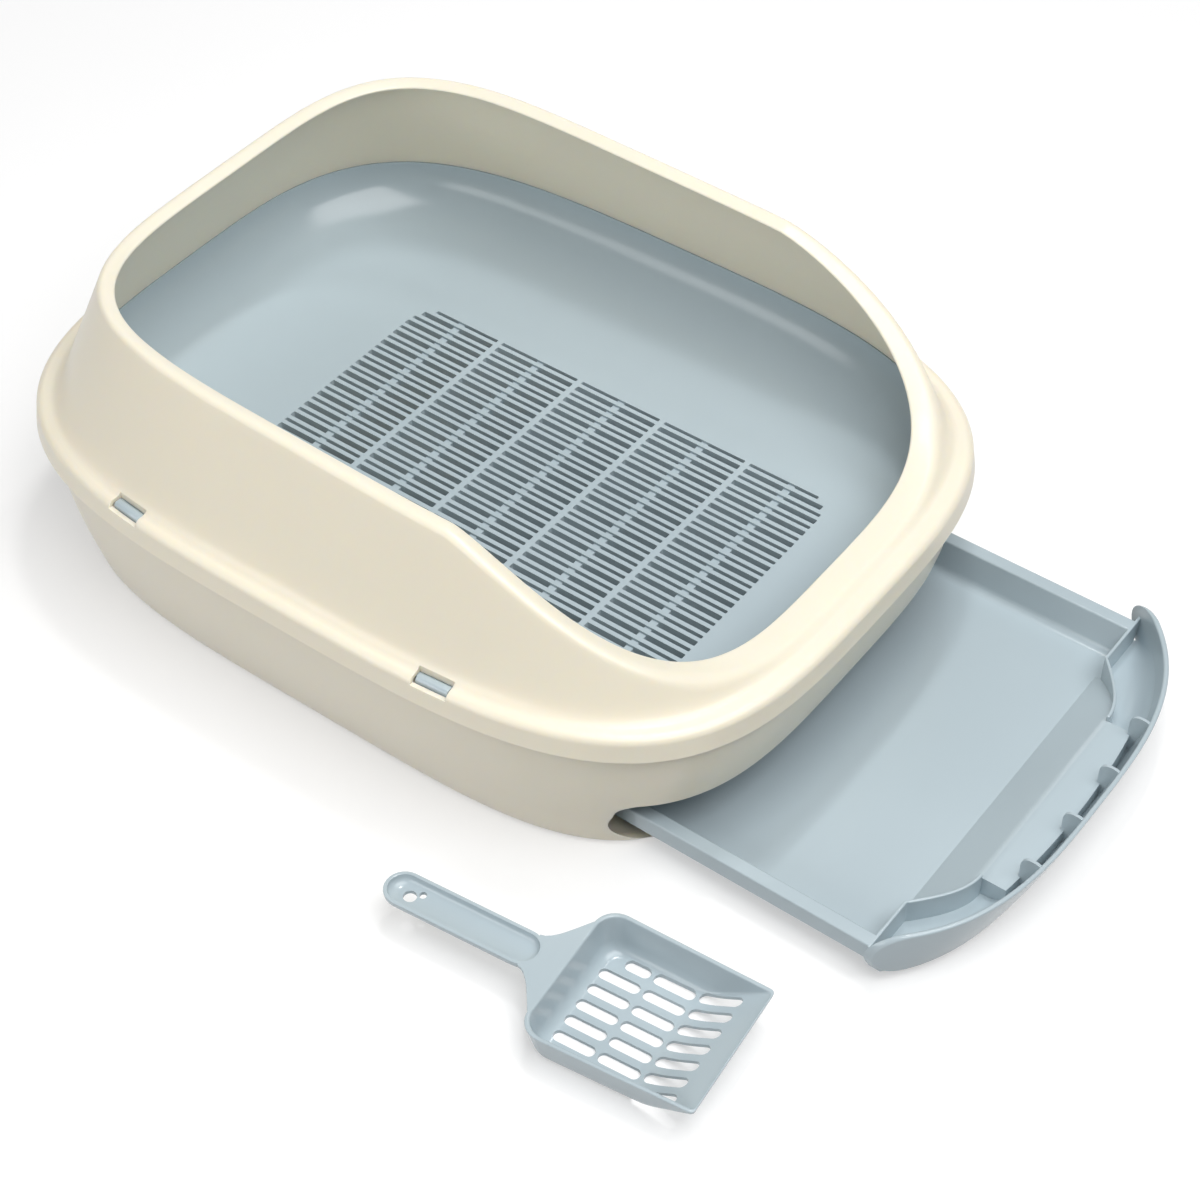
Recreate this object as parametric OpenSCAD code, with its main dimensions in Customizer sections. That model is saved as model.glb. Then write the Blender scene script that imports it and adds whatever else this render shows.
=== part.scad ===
// Litter box with a sieve basin, a raised fence, a waste drawer and a scoop.
// The box stands on z = 0, its plan centre is the origin, and the drawer slides along +X.

/* [Plan of the box] */
// Half length of the tub foot on the floor
foot_half_length = 244; // [225:1:262]
// Half width of the tub foot on the floor
foot_half_width = 187; // [170:1:198]
// Squareness of the foot outline (2 is an ellipse, 6 nearly a rectangle)
foot_squareness = 4.4; // [3.4:0.1:5]
// How far the tub wall leans out at the ends, from foot to rim
end_lean = 27; // [18:1:32]
// How far the tub wall leans out at the sides, from foot to rim
side_lean = 17.5; // [12:0.5:20]
// Squareness of the rim outline
rim_squareness = 3.5; // [3:0.1:4]

/* [Tub] */
// Height of the tub rim above the floor
tub_height = 110; // [104:1:124]
// Wall thickness of the tub
tub_wall = 2.6; // [2:0.1:3.4]
// Thickness of the tub floor, which is also the sill of the drawer opening
tub_floor = 3; // [2:0.1:4]
// Radius of the rounded edge under the tub
foot_radius = 6; // [3:0.5:9]
// Half width of the drawer opening
opening_half_width = 168; // [164:0.5:170]
// Height of the drawer opening above the sill
opening_height = 44; // [42:0.5:48]
// Radius of the upper corners of the drawer opening
opening_radius = 8; // [5:1:12]
// Radius of the lower corners of the drawer opening
sill_radius = 27; // [18:1:29]

/* [Rim] */
// Running clearance between parts that are stacked or slide
clearance = 0.3; // [0.2:0.05:0.5]
// Thickness of the basin flange that lies on the tub rim
basin_flange = 2.5; // [2:0.1:3.2]
// Thickness of the fence flange, wall and skirt
fence_wall = 2.8; // [2.2:0.1:3.2]
// Distance from the tub rim out to the lower edge of the skirt at the ends
end_reach = 6; // [5:0.5:8]
// Distance from the tub rim out to the lower edge of the skirt at the sides
side_reach = 8.5; // [8:0.5:10]
// Height of the skirt, from its lower edge to the top of the flange
skirt_height = 16.5; // [14:0.5:19]
// Radius of the rounded shoulder between flange and skirt
shoulder_radius = 5; // [4:0.5:5.5]

/* [Fence] */
// Width of the flange at the ends, from the shoulder edge in to the foot of the fence
end_flange = 13.5; // [12:0.5:15]
// Width of the flange at the sides
side_flange = 11; // [10.5:0.5:14]
// Height of the inner edge of the lip above the flange at the back
fence_height = 86; // [60:1:96]
// How much lower the lip is where its fall towards the entrance begins
fence_dip = 6; // [0:0.5:10]
// Height of the lip above the flange at the entrance
entrance_height = 1.5; // [1:0.5:6]
// How far the inner edge of the lip lies inside the foot of the fence at the closed end
fence_end_lean = 52.5; // [40:0.5:56]
// How far the inner edge of the lip lies inside the foot of the fence along the sides
fence_side_lean = 41; // [34:0.5:46]
// How far the lip reaches in from the foot of the fence at the entrance
entrance_reach = 22; // [21:0.5:26]
// Squareness of the fence lip outline at full height
lip_squareness = 4.4; // [3.4:0.1:5]
// Width of the flat lip at the back and sides
lip_width = 9.5; // [8:0.5:12]
// Width of the flat lip at the entrance
entrance_lip_width = 18.5; // [14:0.5:19]
// Size of the round turn from the wall into the lip
lip_turn = 7; // [4:0.5:8]
// Where the lip begins to fall towards the entrance, along X
fall_start = 95; // [70:1:110]
// Where the lip has come down to the entrance height, along X
fall_end = 240; // [225:1:242]

/* [Sieve basin] */
// Height of the sieve surface above the floor
sieve_level = 67; // [58:1:74]
// Wall thickness of the basin
basin_wall = 2.6; // [2.2:0.1:3.2]
// Thickness of the basin where its floor begins to curve up
basin_floor = 3; // [2.5:0.1:3.6]
// Distance of the basin mouth inside the foot of the fence
basin_inset = 3.5; // [3.5:0.5:6]
// Half length of the flat basin floor
floor_half_length = 186; // [178:1:192]
// Half width of the flat basin floor
floor_half_width = 110; // [104:1:118]
// Offset of the sieve towards the drawer end
sieve_offset = 24; // [14:1:28]

/* [Sieve] */
// Length of one sieve cell along X
cell_length = 66; // [62:1:67]
// Number of sieve cells along X
cell_count = 5; // [3:1:5]
// Distance from slot row to slot row
row_pitch = 6.4; // [6:0.1:6.6]
// Number of slot rows
row_count = 30; // [20:2:30]
// Width of the wide slots, which take turns with the narrow ones
wide_slot = 4.2; // [3:0.1:4.4]
// Width of the narrow slots
narrow_slot = 2.6; // [2:0.1:3]
// Width of the cross bar between two cells
cross_bar = 4; // [3:0.5:6]
// Length of the sunk link that joins the ribs in the middle of a cell
link_length = 5; // [3:0.5:6]
// How far the links lie below the sieve surface
link_drop = 1.7; // [1:0.1:2.5]
// Radius of the round corners of the slotted field
field_radius = 22; // [10:1:30]
// Margin of the sieve plate round its slots
plate_margin = 6; // [5:0.5:8]
// Thickness of the sieve plate, which is the height of its ribs
plate_thickness = 6; // [4:0.5:8]

/* [Drawer] */
// How far the drawer is drawn out
drawer_out = 171.5; // [150:0.5:171.5]
// Length of the drawer tray along X
tray_length = 423.5; // [400:0.5:426]
// Half width of the tray over its rails
tray_half_width = 153; // [148:0.5:155]
// Height of the tray from its underside to the top of the rails
tray_height = 24.5; // [22:0.5:28]
// Width of the flat rail along the tray
rail_width = 9; // [7:0.5:11]
// Height of the outer lip of the rail
rail_lip = 12.5; // [9:0.5:14]
// Wall thickness of the tray
tray_wall = 2.5; // [2:0.1:3]
// Slope of the tray walls, measured at the foot of the wall
wall_draft = 6; // [3:0.5:8]
// Length of the ramp in front of the tray floor
ramp_length = 25; // [18:1:27]
// Half width of the platform behind the drawer front
platform_half_width = 73; // [70:1:76]
// Half width of the straight part of the front wall, where it starts to curve outwards
front_corner = 115; // [105:1:122]

/* [Drawer front] */
// Thickness of the drawer front
front_wall = 3; // [2.5:0.1:3.4]
// Height of the drawer front
front_height = 35; // [31:0.5:37]
// Height of the lower edge of the drawer front above the floor
front_bottom = 7; // [5:0.5:8]
// Half width of the drawer front
front_half_width = 162.5; // [156:0.5:163.5]
// Radius of the rounded ends of the drawer front
front_end_radius = 16; // [8:1:17]
// Width of the finger slot behind the drawer front
finger_slot = 6; // [5:0.5:8]
// Number of fins in the finger slot
fin_count = 4; // [2:1:6]
// Distance from fin to fin
fin_pitch = 43.5; // [20:0.5:44]
// Sideways offset of the row of fins
fin_offset = 6.5; // [0:0.5:7]
// How much narrower the outline of the drawer front is than the tub wall, on each side
front_tuck = 3; // [0:0.5:5]
// Squareness of the drawer front outline
front_squareness = 3.3; // [3:0.1:3.6]

/* [Clips] */
// Distance of the rear clips from the middle of the box, along X
clip_rear = 122; // [100:1:125]
// Distance of the front clips from the middle of the box, along X
clip_front = 112; // [100:1:125]
// Length of a clip
clip_length = 21.4; // [16:0.5:26]
// Free space round a clip in its window
clip_play = 1.2; // [0.8:0.1:1.8]
// Height of a clip
clip_height = 13; // [10:0.5:14]
// Width of a clip window across the flange
window_width = 10.5; // [9:0.5:11]
// Depth of a clip window below the top of the flange
window_depth = 4.5; // [3:0.5:5]

/* [Scoop] */
// Overall length of the scoop
scoop_length = 223; // [215:1:235]
// Width of the scoop pan
pan_width = 96; // [94:1:104]
// Length of the scoop pan, over its rim
pan_length = 108; // [106:1:112]
// Radius of the round corners at the back of the pan
pan_corner = 14; // [8:1:16]
// Length of the rising front of the pan
pan_rise_length = 38; // [34:1:42]
// How far the pan walls lean in towards the floor
pan_lean = 5; // [3:0.5:6]
// Height of the scoop
pan_height = 26; // [22:1:30]
// Distance of the first column of slots from the foot of the pan's back wall
pan_slot_margin = 3.5; // [2:0.5:5]
// Wall thickness of the scoop
scoop_wall = 2.4; // [2:0.1:3]
// Width of the handle
handle_width = 24; // [20:1:28]
// Depth of the hollow handle
handle_depth = 8; // [7:0.5:12]
// Length of a scoop slot
pan_slot_length = 26; // [20:1:27]
// Width of a scoop slot
pan_slot_width = 7.3; // [5:0.1:7.6]
// Distance from slot to slot across the pan
pan_slot_pitch = 12; // [10:0.5:12]
// Where the handle ends and the neck begins to widen
neck_start = 94; // [84:1:98]
// Distance of the hanging hole from the end of the handle
hang_hole_x = 15.5; // [14:0.5:24]
// Radius of the hanging hole
hang_hole_radius = 4; // [3:0.1:4.4]
// Radius of the small hole beside the hanging hole
pin_hole_radius = 2.2; // [1.5:0.1:2.6]
// Turn of the scoop on the floor, in degrees
scoop_turn = 5.5; // [0:0.5:8]
// Place of the handle end along X
scoop_x = 130; // [100:1:160]
// Place of the handle end along Y
scoop_y = -273.5; // [-300:0.5:-268]

/* [Hidden] */

cream = [0.93, 0.89, 0.80];
blue_grey = [0.66, 0.73, 0.77];
around = 72;

// Heights of the stack, from the tub rim up
flange_seat = tub_height + clearance;
basin_top = flange_seat + basin_flange;
fence_seat = basin_top + clearance;
flange_top = fence_seat + fence_wall;
skirt_bottom = flange_top - skirt_height;

// Half sizes of the plan outlines
rim_a = foot_half_length + end_lean;
rim_b = foot_half_width + side_lean;
skirt_a = rim_a + end_reach;
skirt_b = rim_b + side_reach;
shoulder_flare = 1.5;
lip_crown = 3;
lip_edge_radius = 0.9;
lip_edge_height = 2.1;
fall_bend = 1.32;
foot_share = 0.12;
toe_a = skirt_a - shoulder_flare - end_flange;
toe_b = skirt_b - shoulder_flare - side_flange;
mouth_a = toe_a - basin_inset;
mouth_b = toe_b - basin_inset;

// Sieve and its plate
sieve_length = cell_count * cell_length;
sieve_width = row_count * row_pitch;
plate_half_length = sieve_length / 2 + plate_margin;
plate_half_width = sieve_width / 2 + plate_margin;
plate_bottom = sieve_level - plate_thickness;

// Drawer levels and places, drawn out as it stands
tray_bottom = tub_floor + clearance;
tray_top = tray_bottom + tray_height;
tray_floor = tray_bottom + tray_wall;
rail_inner = tray_half_width - rail_width;

// Outline of the drawer front: that of the tub wall at the height of its upper edge
front_top = front_bottom + front_height;
front_a = wall_a(front_top);
front_b = wall_b(front_top) - front_tuck;
front_x = front_a + drawer_out;
platform_length = 27.5;
platform_start = front_x - front_wall - finger_slot - platform_length;
tray_front = platform_start - ramp_length + 1;
ramp_foot = tray_front - 4;
tray_back = tray_front - tray_length;
platform_level = tray_top - 3.5;
pocket_floor = front_bottom + 1;
back_radius = 22;
front_reach = front_half_width - 3;

// ---- Plan outlines: superellipses given by half sizes and squareness ----

function signed_power(value, exponent) = sign(value) * pow(abs(value), exponent);

// The points crowd where the outline turns and are sparse where it is nearly straight
function outline_point(angle, a, b, n) =
    [a * signed_power(cos(angle), 2 / n), b * signed_power(sin(angle), 2 / n)];

function ring(a, b, n, z) =
    [for (i = [0:around - 1])
        let (p = outline_point(i * 360 / around, a, b, n)) [p[0], p[1], z]];

function blend(p, q, k) = p * (1 - k) + q * k;

function smooth(t) = let (c = max(0, min(1, t))) c * c * (3 - 2 * c);

// Share of the full lean that the tub wall has at height z: steep above, rounded below
function wall_share(z) = 1 - pow(1 - min(1, max(0, z) / tub_height), 2);

function wall_squareness(z) =
    foot_squareness - (foot_squareness - rim_squareness) * pow(min(1, max(0, z) / tub_height), 0.4);

function wall_a(z) = foot_half_length + end_lean * wall_share(z);

function wall_b(z) = foot_half_width + side_lean * wall_share(z);

function wall_ring(z, inset = 0) = ring(wall_a(z) - inset, wall_b(z) - inset, wall_squareness(z), z);

// Sides between neighbouring rings, each ring with the same number of points
function sides(count, closed) =
    [for (j = [0:count - (closed ? 1 : 2)], i = [0:around - 1])
        let (k = (i + 1) % around, u = j * around, v = ((j + 1) % count) * around)
        each [[u + i, v + i, v + k], [u + i, v + k, u + k]]];

// A closed band whose section runs through all rings and back to the first one
module band(rings) {
    polyhedron(points = [for (r = rings) each r], faces = sides(len(rings), true), convexity = 8);
}

// A vessel: the first and the last ring are closed by flat faces
module vessel(rings) {
    last = (len(rings) - 1) * around;
    polyhedron(points = [for (r = rings) each r],
               faces = concat(sides(len(rings), false),
                              [[for (i = [0:around - 1]) i]],
                              [[for (i = [around - 1:-1:0]) last + i]]),
               convexity = 8);
}

module rounded_rectangle(length, width, radius) {
    square([length - 2 * radius, width], center = true);
    square([length, width - 2 * radius], center = true);
    for (x = [-1, 1], y = [-1, 1])
        translate([x * (length / 2 - radius), y * (width / 2 - radius)])
            circle(r = radius, $fn = 48);
}

// ---- Base tub ----

function corner_arc(x, y, radius, start) =
    [for (i = [0:8]) [x + radius * cos(start + i * 11.25), y + radius * sin(start + i * 11.25)]];

// Outline of the opening: tight round corners above, wide ones at the sill
module opening_outline() {
    half = opening_half_width;
    top = opening_height;
    polygon(concat(
        corner_arc(half - opening_radius, top - opening_radius, opening_radius, 0),
        corner_arc(opening_radius - half, top - opening_radius, opening_radius, 90),
        corner_arc(sill_radius - half, sill_radius, sill_radius, 180),
        corner_arc(half - sill_radius, sill_radius, sill_radius, 270)));
}

// Opening in the tub wall for the drawer
module drawer_opening() {
    start = foot_half_length * 0.5;
    translate([start, 0, tub_floor])
        rotate([90, 0, 90])
            linear_extrude(skirt_a - start)
                opening_outline();
}

// Raised pad on the tub wall under each clip window
module clip_pad(x, side) {
    height = 5;
    relief = 1.2;
    top = skirt_bottom + 1;
    face = wall_y(abs(x), top - height / 2);
    translate([x - clip_length / 2, side > 0 ? face - tub_wall : -face - relief, top - height])
        cube([clip_length, tub_wall + relief, height]);
}

// Half width of the tub wall at the place x and height z
function wall_y(x, z) =
    let (n = wall_squareness(z)) wall_b(z) * pow(1 - pow(x / wall_a(z), n), 1 / n);

module base_tub() {
    outside = [0, foot_radius * 0.3, foot_radius, 18, 32, 48, 66, 86, tub_height];
    inside = [tub_height, 86, 66, 48, 32, 18, foot_radius + tub_floor / 2, tub_floor];
    color(cream)
        union() {
            difference() {
                vessel(concat(
                    [for (z = outside)
                        wall_ring(z, z < foot_radius ? foot_radius * 0.5 * pow(1 - z / foot_radius, 2) : 0)],
                    [for (z = inside) wall_ring(z, tub_wall + (z > tub_floor ? 0 : foot_radius * 0.6))]));
                drawer_opening();
            }
            for (x = [-clip_rear, clip_front], side = [-1, 1])
                clip_pad(x, side);
        }
}

// ---- Sieve basin ----

// Outline of the sieve plate, taken at the same angles as the basin rings
function plate_ring(grow, z) =
    [for (i = [0:around - 1])
        let (p = outline_point(i * 360 / around, plate_half_length + grow, plate_half_width + grow, 14))
        [p[0] + sieve_offset, p[1], z]];

function floor_ring(grow, z) =
    [for (i = [0:around - 1])
        let (p = outline_point(i * 360 / around, floor_half_length + grow, floor_half_width + grow, 5))
        [p[0] + sieve_offset, p[1], z]];

// Ring of the bowl wall: share 0 at the flat floor, 1 at the mouth; the section is a quarter ellipse
function bowl_ring(share, drop, grow) =
    let (low = floor_ring(grow, 0), high = ring(mouth_a + grow, mouth_b + grow, rim_squareness, 0),
         rise = 1 - sqrt(max(0, 1 - share * share)))
    [for (i = [0:around - 1])
        let (p = blend(low[i], high[i], share))
        [p[0], p[1], sieve_level - drop + (basin_top - sieve_level) * rise]];

module basin_shell() {
    shares = [0, 0.2, 0.4, 0.58, 0.73, 0.85, 0.93, 0.98, 1];
    color(blue_grey)
        band(concat(
            [plate_ring(0, plate_bottom)],
            [for (s = shares) bowl_ring(s, basin_floor, s < 1 ? basin_wall * s : 0)],
            [ring(rim_a, rim_b, rim_squareness, flange_seat),
             ring(rim_a, rim_b, rim_squareness, basin_top)],
            [for (i = [len(shares) - 1:-1:0]) bowl_ring(shares[i], 0, 0)],
            [plate_ring(0, sieve_level)]));
}

// Everything in a cell that lies in its rows of slots, from one place along the cell to another
module cell_rows(from, to) {
    for (cell = [0:cell_count - 1], row = [0:row_count - 1]) {
        width = row % 2 == 0 ? wide_slot : narrow_slot;
        translate([sieve_offset - sieve_length / 2 + cell * cell_length + from,
                   -sieve_width / 2 + (row + 0.5) * row_pitch - width / 2])
            square([to - from, width]);
    }
}

module slotted_field() {
    translate([sieve_offset, 0])
        rounded_rectangle(sieve_length, sieve_width, field_radius);
}

module sieve_plate() {
    link_start = (cell_length - link_length) / 2;
    link_end = (cell_length + link_length) / 2;
    color(blue_grey)
        difference() {
            translate([0, 0, plate_bottom])
                linear_extrude(plate_thickness)
                    difference() {
                        polygon([for (p = plate_ring(0, 0)) [p[0], p[1]]]);
                        intersection() {
                            slotted_field();
                            union() {
                                cell_rows(cross_bar / 2, link_start);
                                cell_rows(link_end, cell_length - cross_bar / 2);
                            }
                        }
                    }
            translate([0, 0, sieve_level - link_drop])
                linear_extrude(link_drop + 1)
                    intersection() {
                        slotted_field();
                        cell_rows(link_start, link_end);
                    }
        }
}

// ---- Upper fence ----

// Height of the lip above the flange at the place x: a gentle dip along the sides, then a fall
function fence_rise(x) =
    let (back = -toe_a / 2,
         dip = max(0, min(1, (x - back) / (fall_start - back))),
         fall = max(0, min(1, (x - fall_start) / (fall_end - fall_start))))
    fence_height - fence_dip * dip
    - (fence_height - fence_dip - entrance_height) * pow(fall, fall_bend);

// Inner edge of the lip for a toe point and its lip point at full height, with its height
function lip_edge(toe, lip, rise) =
    blend(toe, lip, blend(entrance_reach / fence_end_lean, 1, rise / fence_height));

// Section of the fence, as places inside the foot and heights above the flange, from the foot
// over the round turn and the flat lip and back down the inner face
function fence_section(reach, rise) =
    let (width = min(reach - 2, blend(entrance_lip_width, lip_width, rise / fence_height)),
         crest = rise + lip_crown * rise / fence_height,
         slope = (crest - rise) / width,
         wall = reach - width,
         slant = norm([wall, crest]),
         turn = min(lip_turn, 0.45 * slant, 0.45 * width),
         corner = [wall, crest],
         below = blend(corner, [0, 0], turn / slant),
         beyond = blend(corner, [reach, rise], turn / width),
         back = fence_wall * (slant - wall) / crest)
    concat([foot_share * corner, 0.5 * corner],
           [for (t = [0:0.25:1]) blend(blend(below, corner, t), blend(corner, beyond, t), t)],
           [[reach - lip_edge_radius, rise], [reach, rise - lip_edge_radius],
            [reach - lip_edge_radius / 2, rise - lip_edge_height],
            [reach - fence_wall, rise + slope * fence_wall - lip_edge_height - 0.5]],
           [[wall + fence_wall * crest / slant - back * wall / slant, crest - fence_wall],
            [fence_wall + 0.5 * wall, 0.5 * crest - 1]]);

// Rings of the fence, one for each place in the section
function fence_rings() =
    let (places = [for (i = [0:around - 1])
             let (angle = i * 360 / around,
                  toe = outline_point(angle, toe_a, toe_b, rim_squareness),
                  lip = outline_point(angle, toe_a - fence_end_lean, toe_b - fence_side_lean, lip_squareness),
                  first = lip_edge(toe, lip, fence_rise(toe[0])),
                  second = lip_edge(toe, lip, fence_rise(first[0])),
                  rise = fence_rise(second[0]),
                  edge = lip_edge(toe, lip, rise),
                  reach = norm(edge - toe))
             [toe, (edge - toe) / reach, fence_section(reach, rise)]])
    [for (j = [0:len(places[0][2]) - 1])
        [for (place = places)
            let (p = place[0] + place[1] * place[2][j][0])
            [p[0], p[1], flange_top + place[2][j][1]]]];

// Rings of the shoulder arc between the flat flange and the skirt
function shoulder_rings(radius, steps) =
    [for (j = [0:steps])
        let (angle = 90 * j / steps,
             a = skirt_a - shoulder_flare - shoulder_radius + radius * sin(angle),
             b = skirt_b - shoulder_flare - shoulder_radius + radius * sin(angle))
        ring(a, b, rim_squareness, flange_top - shoulder_radius + radius * cos(angle))];

module upper_fence() {
    inner = shoulder_radius - fence_wall;
    color(cream)
        difference() {
            band(concat(
                [ring(skirt_a, skirt_b, rim_squareness, skirt_bottom)],
                [for (r = [3:-1:0]) shoulder_rings(shoulder_radius, 3)[r]],
                [ring(toe_a + 2, toe_b + 2, rim_squareness, flange_top)],
                fence_rings(),
                [ring(toe_a - fence_wall, toe_b - fence_wall, rim_squareness, fence_seat)],
                shoulder_rings(inner, 2),
                [ring(skirt_a - fence_wall, skirt_b - fence_wall, rim_squareness, skirt_bottom)]));
            for (x = [-clip_rear, clip_front], side = [-1, 1])
                clip_window(x, side);
        }
}

// ---- Clips ----

clip_top = flange_top - 1.2;
clip_face = 3.6;

// Half width of the flange outline at the place x, measured at the outer edge of the shoulder
function shoulder_y(x) =
    let (a = skirt_a - shoulder_flare, b = skirt_b - shoulder_flare)
    b * pow(1 - pow(abs(x) / a, rim_squareness), 1 / rim_squareness);

// Direction of the flange edge at the place x
function shoulder_turn(x) = atan2(shoulder_y(x + 5) - shoulder_y(x - 5), 10);

// Puts its children on the flange edge at the place x of the far or the near side, Y pointing outwards
module on_shoulder(x, side) {
    mirror([0, side > 0 ? 0 : 1, 0])
        translate([x, shoulder_y(x), 0])
            rotate([0, 0, shoulder_turn(x)])
                children();
}

module clip_window(x, side) {
    length = clip_length + 2 * clip_play;
    reach = 8;
    on_shoulder(x, side)
        translate([-length / 2, -window_width, flange_top - window_depth])
            cube([length, window_width + reach, 2 * window_depth]);
}

module clip(x, side) {
    outer = -clip_face;
    inner = clip_play - window_width;
    web = 1.6;
    lip_z = basin_top + clearance;
    color(blue_grey)
        on_shoulder(x, side)
            rotate([90, 0, 90])
                translate([0, 0, -clip_length / 2])
                    linear_extrude(clip_length)
                        polygon([[inner, lip_z], [inner, clip_top - 0.8], [inner + 0.8, clip_top],
                                 [outer - 1.5, clip_top], [outer, clip_top - 1.5],
                                 [outer, clip_top - clip_height],
                                 [outer - web, clip_top - clip_height], [outer - web, lip_z]]);
}

module clip_near_rear() { clip(-clip_rear, -1); }
module clip_near_front() { clip(clip_front, -1); }
module clip_far_rear() { clip(-clip_rear, 1); }
module clip_far_front() { clip(clip_front, 1); }

// ---- Drawer ----

function mirrored(points) =
    concat(points, [for (i = [len(points) - 1:-1:0]) [points[i][0], -points[i][1]]]);

// Plan with rounded back corners, from the back corner round to the straight front end
function rounded_back(back, half_width, radius, front) =
    mirrored(concat([for (i = [0:6]) let (angle = 180 - 15 * i)
                        [back + radius * (1 + cos(angle)), half_width - radius * (1 - sin(angle))]],
                    [[front, half_width]]));

// Plan curve of the front wall, from its corner in to the platform, moved outwards by grow
function front_curve(grow) =
    [for (i = [0:8]) let (t = i / 8)
        [tray_front + (platform_start - tray_front) * sin(90 * t) + grow,
         front_corner - (front_corner - platform_half_width) * t + grow]];

// Where the platform ends in front of the finger slot, at the place y
function platform_edge(y) = front_x - front_wall - finger_slot - 7.5 * pow(y / platform_half_width, 2);

// Space behind the drawer front, in plan
module behind_front(gap) {
    inset = front_wall + gap;
    translate([drawer_out, 0])
        polygon([for (p = ring(front_a - inset, front_b - inset, front_squareness, 0)) [p[0], p[1]]]);
}

// Prism along X with the given section in Y and Z
module along_x(section, from, to) {
    translate([from, 0, 0])
        rotate([90, 0, 90])
            linear_extrude(to - from)
                polygon(section);
}

// Prism across the drawer with the given side profile in X and Z
module across(profile, half_width) {
    translate([0, half_width, 0])
        rotate([90, 0, 0])
            linear_extrude(2 * half_width)
                polygon(profile);
}

// How far the tray wall has come in at height z, from its rim down
function wall_in(z) = wall_draft * (tray_top - z) / tray_height;

// Trapezoid section of the tray: narrow at its foot, wide at its rim
function tray_section(grow, low, high) =
    let (foot = rail_inner + grow - wall_in(low), rim = rail_inner + grow - wall_in(high))
    [[-foot, low], [foot, low], [rim, high], [-rim, high]];

module tray_block(grow, low, high) {
    back = tray_back + rail_width - grow;
    front = tray_front + grow;
    intersection() {
        translate([0, 0, low])
            linear_extrude(high - low)
                polygon(rounded_back(back, rail_inner + grow, back_radius, front));
        along_x(tray_section(grow, low, high), back - 1, front);
        across([[back + wall_in(low), low], [front, low], [front, high], [back + wall_in(high), high]],
               tray_half_width);
    }
}

// Ramp and curved front wall in plan
module ramp_plan(grow) {
    polygon(mirrored(concat([[ramp_foot, front_corner + grow]], front_curve(grow))));
}

module front_block() {
    translate([0, 0, tray_bottom])
        linear_extrude(tray_height)
            ramp_plan(tray_wall * 0.8);
    translate([0, 0, tray_bottom])
        linear_extrude(platform_level - tray_bottom)
            polygon(mirrored(concat([[ramp_foot, platform_half_width]],
                                    [for (i = [0:6]) let (y = platform_half_width * (1 - i / 6))
                                        [platform_edge(y), y]])));
    translate([tray_front, -tray_half_width, pocket_floor])
        cube([front_x - tray_front, 2 * tray_half_width, tray_wall]);
    translate([tray_front, -tray_half_width, pocket_floor])
        cube([tray_wall, 2 * tray_half_width, tray_top - pocket_floor]);
    translate([tray_front, -front_reach, tray_top - rail_lip])
        cube([tray_wall, 2 * front_reach, rail_lip]);
}

// Solid under the ramp, as far as it reaches back into the tray
module ramp_wedge() {
    across([[ramp_foot, tray_floor - 1], [ramp_foot, tray_floor], [platform_start, platform_level],
            [platform_start, tray_floor - 1]],
           front_corner);
}

module ramp_hollow() {
    above = tray_top + 1;
    intersection() {
        linear_extrude(above)
            ramp_plan(0);
        across([[ramp_foot, tray_floor], [platform_start, platform_level],
                [platform_start + 5, platform_level], [platform_start + 5, above], [ramp_foot, above]],
               front_corner);
    }
    translate([platform_start, -platform_half_width - tray_wall, platform_level])
        cube([front_x - platform_start, 2 * (platform_half_width + tray_wall), tray_height]);
}

module platform_hollow() {
    across([[ramp_foot + 6, tray_bottom - 1], [platform_start + 2, platform_level - tray_wall],
            [platform_edge(platform_half_width) - tray_wall, platform_level - tray_wall],
            [platform_edge(platform_half_width) - tray_wall, tray_bottom - 1]],
           platform_half_width - tray_wall);
}

module tray_rails() {
    front = tray_front + tray_wall;
    difference() {
        union() {
            translate([0, 0, tray_top - tray_wall])
                linear_extrude(tray_wall)
                    polygon(rounded_back(tray_back, tray_half_width, back_radius + rail_width, front));
            translate([0, 0, tray_top - rail_lip])
                linear_extrude(rail_lip)
                    difference() {
                        polygon(rounded_back(tray_back, tray_half_width, back_radius + rail_width, front));
                        polygon(rounded_back(tray_back + tray_wall, tray_half_width - tray_wall,
                                             back_radius + rail_width - tray_wall, front + 1));
                    }
        }
        linear_extrude(tray_top + 1)
            polygon(rounded_back(tray_back + rail_width + 1, rail_inner - 1, back_radius, front + 1));
    }
}

module drawer_tray() {
    color(blue_grey)
        intersection() {
            difference() {
                union() {
                    tray_block(tray_wall, tray_bottom, tray_top);
                    tray_rails();
                    front_block();
                }
                difference() {
                    tray_block(0, tray_floor, tray_top + 1);
                    ramp_wedge();
                }
                ramp_hollow();
                platform_hollow();
            }
            linear_extrude(tub_height)
                union() {
                    behind_front(clearance);
                    translate([tray_back - 1, -tray_half_width - 1])
                        square([tray_front - tray_back, 2 * tray_half_width + 2]);
                }
        }
}

// ---- Drawer front ----

module fin(y) {
    start = platform_edge(y) + clearance;
    top = front_top - 0.5;
    corner = 3;
    thickness = 2;
    translate([0, y + thickness / 2, 0])
        rotate([90, 0, 0])
            linear_extrude(thickness)
                union() {
                    translate([start, platform_level - 4])
                        square([front_x - start, top - corner - platform_level + 4]);
                    translate([start + corner, top - corner])
                        circle(r = corner, $fn = 32);
                    translate([start + corner, top - corner])
                        square([front_x - start - corner, corner]);
                }
}

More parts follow.
